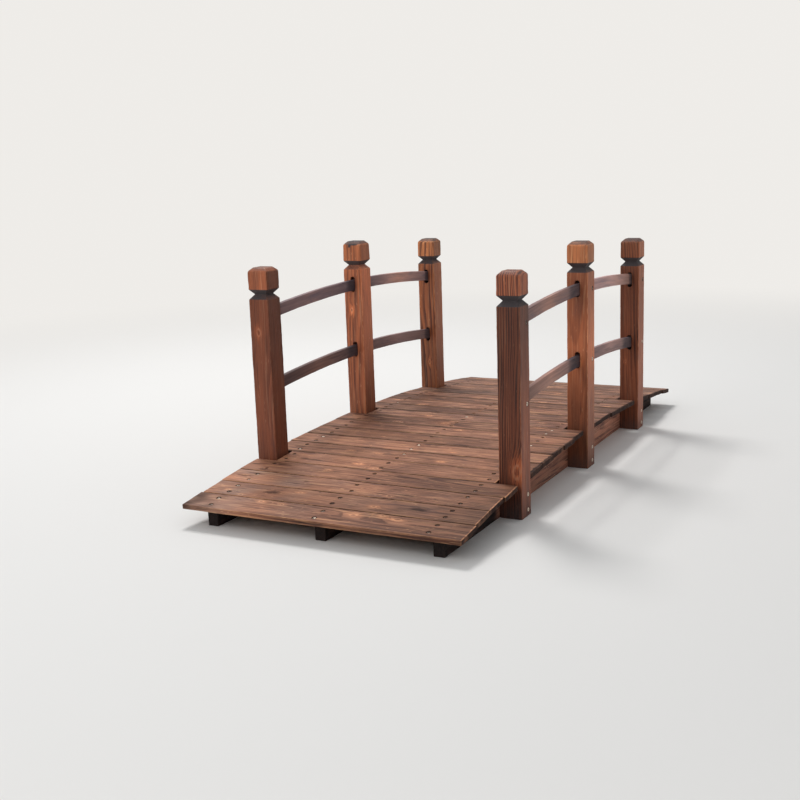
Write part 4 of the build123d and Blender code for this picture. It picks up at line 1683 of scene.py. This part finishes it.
def make_backdrop(colours):
    """A round studio floor that sweeps up into a wall: a profile turned about Z, flat, then a
    quarter circle, then upright."""
    angle = np.linspace(0, math.pi / 2, 13)[1:]
    bend, end = FLOOR_RADII[-1] + FLOOR_SWEEP * np.sin(angle), FLOOR_RADII[-1] + FLOOR_SWEEP
    radii = np.concatenate([FLOOR_RADII, bend, [end]])[:, None]
    rise = FLOOR_SWEEP * (1 - np.cos(angle))
    heights = np.concatenate([np.zeros(len(FLOOR_RADII)), rise, [FLOOR_SWEEP + WALL_HEIGHT]])
    turn = np.linspace(0, 2 * math.pi, 64, endpoint=False)
    level = np.repeat(heights[:, None], len(turn), axis=1)
    points = np.stack([radii * np.cos(turn), radii * np.sin(turn), level], axis=-1).reshape(-1, 3)
    grid = np.arange(len(points)).reshape(len(radii), -1)
    closed = np.concatenate([grid, grid[:, :1]], axis=1)
    middle = len(points)
    points = np.concatenate([points, [(0.0, 0.0, 0.0)]])
    quads = np.concatenate([grid_quads(closed)[:, ::-1], fan_quads(grid[0], middle)])
    mesh = bpy.data.meshes.new("backdrop")
    mesh.from_pydata(points.tolist(), [], quads.tolist())
    mesh.polygons.foreach_set("use_smooth", np.ones(len(quads), bool))
    mesh.materials.append(backdrop_material(colours))
    backdrop = add_object("backdrop", mesh)


def backdrop_material(colours):
    """Matt floor that takes the shadow. Away from the middle, eyes and mirrors see it as an even pale
    glow, by Light Path, so that floor and wall run into each other."""
    material, n = new_material("backdrop")
    matt = n.add("BsdfPrincipled", {"Base Color": opaque(colours.floor), "Roughness": 0.9,
                                    "Specular IOR Level": 0.2})
    glow = n.add("Emission", {"Color": opaque(colours.backdrop), "Strength": 1.0})
    away = n.step(n.vector("LENGTH", n.add("TexCoord", output="Object"), output=1), GLOW_START, GLOW_END)
    path = n.tree.nodes.new("ShaderNodeLightPath").outputs
    seen = n.math("MAXIMUM", n.math("MAXIMUM", path["Is Camera Ray"], path["Is Glossy Ray"]),
                  path["Is Transmission Ray"])
    surface = n.add("MixShader", {0: n.math("MULTIPLY", away, seen), 1: matt, 2: glow})
    n.add("OutputMaterial", {"Surface": surface})
    return material


def make_lamp(name, place, size, energy, target=(0.0, 0.0, 0.2)):
    """A square soft lamp that faces the target."""
    data = bpy.data.lights.new(name, "AREA")
    data.shape = "SQUARE"
    data.size = size
    data.energy = energy
    lamp = add_object(name, data)
    away = np.array(place) - np.array(target)
    away /= np.linalg.norm(away)
    side = np.cross((0.0, 1.0, 0.0), away)
    side /= np.linalg.norm(side)
    lamp.matrix_world = placed_axes(place, side, np.cross(away, side), away)


def make_lights():
    """A soft key lamp from high at the back left, a weaker one from the front left, and an even sky."""
    make_lamp("key_lamp", (1.3, 1.7, 4.0), 1.2, 112.0)
    make_lamp("front_lamp", (-3.4, 0.6, 2.4), 2.0, 30.0)
    world = bpy.data.worlds.new("sky")
    bpy.context.scene.world = world
    world.use_nodes = True
    n = NodeMaker(world.node_tree)
    light = n.add("Background", {"Color": (0.93, 0.96, 1.0, 1.0), "Strength": 0.55})
    n.add("OutputWorld", {"Surface": light})
    bpy.context.scene.view_settings.view_transform = "Standard"


def settings(context):
    """The sizes and the colours that the scene holds."""
    return context.scene.footbridge_sizes, context.scene.footbridge_colours


class FOOTBRIDGE_OT_bearers(bpy.types.Operator):
    """Saw the three bearers that carry the deck"""
    bl_idname = "footbridge.bearers"
    bl_label = "Bearers"

    def execute(self, context):
        sizes, colours = settings(context)
        deck = Deck()
        for node in BEARER_NODES:
            make_bearer(node, deck, sizes, bearer_wood(colours))
        return {"FINISHED"}


class FOOTBRIDGE_OT_deck_boards(bpy.types.Operator):
    """Lay the worn deck boards, with a sunk hole for each screw"""
    bl_idname = "footbridge.deck_boards"
    bl_label = "Deck Boards"

    def execute(self, context):
        sizes, colours = settings(context)
        deck = Deck()
        for node in BOARD_NODES:
            make_board(node, deck, sizes, deck_wood(colours))
        return {"FINISHED"}


class FOOTBRIDGE_OT_posts(bpy.types.Operator):
    """Mill the six posts, with grooves, caps and slots"""
    bl_idname = "footbridge.posts"
    bl_label = "Posts"

    def execute(self, context):
        sizes, colours = settings(context)
        for node in POST_NODES:
            make_post(node, sizes, post_wood(colours))
        return {"FINISHED"}


class FOOTBRIDGE_OT_rails(bpy.types.Operator):
    """Bend the four rails through the posts"""
    bl_idname = "footbridge.rails"
    bl_label = "Rails"

    def execute(self, context):
        sizes, colours = settings(context)
        for node in RAIL_NODES:
            make_rail(node, sizes, rail_wood(colours))
        return {"FINISHED"}


class FOOTBRIDGE_OT_screws(bpy.types.Operator):
    """Drive the screws of the deck and of the posts"""
    bl_idname = "footbridge.screws"
    bl_label = "Screws"

    def execute(self, context):
        sizes, colours = settings(context)
        steel = screw_steel(colours)
        deck_frames, post_frames = deck_screw_frames(Deck(), sizes), post_screw_frames(sizes)
        post_ages = np.tile(POST_SCREW_AGES, len(POST_NODES))
        scatter_screws(
            "deck_screws", deck_frames, deck_screw_ages(), sizes.screw_head_radius, steel, "deck_screw_turns")
        scatter_screws("post_screws", post_frames, post_ages, POST_SCREW_HEAD, steel, "post_screw_turns")
        return {"FINISHED"}


class FOOTBRIDGE_OT_stage(bpy.types.Operator):
    """Set up the pale studio, its soft lamps and the camera"""
    bl_idname = "footbridge.stage"
    bl_label = "Studio"

    def execute(self, context):
        make_backdrop(context.scene.footbridge_colours)
        make_lights()
        make_camera()
        return {"FINISHED"}


class FOOTBRIDGE_PT_panel(bpy.types.Panel):
    """Lists the steps that build the footbridge, with the sizes and colours that they read"""
    bl_idname = "FOOTBRIDGE_PT_panel"
    bl_label = "Garden Footbridge"
    bl_space_type = "VIEW_3D"
    bl_region_type = "UI"
    bl_category = "Footbridge"

    def draw(self, context):
        for operator in OPERATORS:
            self.layout.operator(operator.bl_idname)
        for group in settings(context):
            box = self.layout.box()
            for key in group.__annotations__:
                box.prop(group, key)


OPERATORS = (
    FOOTBRIDGE_OT_bearers,
    FOOTBRIDGE_OT_deck_boards,
    FOOTBRIDGE_OT_posts,
    FOOTBRIDGE_OT_rails,
    FOOTBRIDGE_OT_screws,
    FOOTBRIDGE_OT_stage,
)
CLASSES = (FootbridgeSizes, FootbridgeColours, *OPERATORS, FOOTBRIDGE_PT_panel)


def register():
    """Register every class, and give the scene its sizes and colours."""
    for cls in CLASSES:
        bpy.utils.register_class(cls)
    bpy.types.Scene.footbridge_sizes = bpy.props.PointerProperty(type=FootbridgeSizes)
    bpy.types.Scene.footbridge_colours = bpy.props.PointerProperty(type=FootbridgeColours)


def unregister():
    """Take away what register added."""
    del bpy.types.Scene.footbridge_colours
    del bpy.types.Scene.footbridge_sizes
    for cls in reversed(CLASSES):
        bpy.utils.unregister_class(cls)


def main():
    """Build the footbridge piece by piece."""
    register()
    bpy.ops.footbridge.bearers()
    bpy.ops.footbridge.deck_boards()
    bpy.ops.footbridge.posts()
    bpy.ops.footbridge.rails()
    bpy.ops.footbridge.screws()
    bpy.ops.footbridge.stage()


if __name__ == "__main__":
    main()
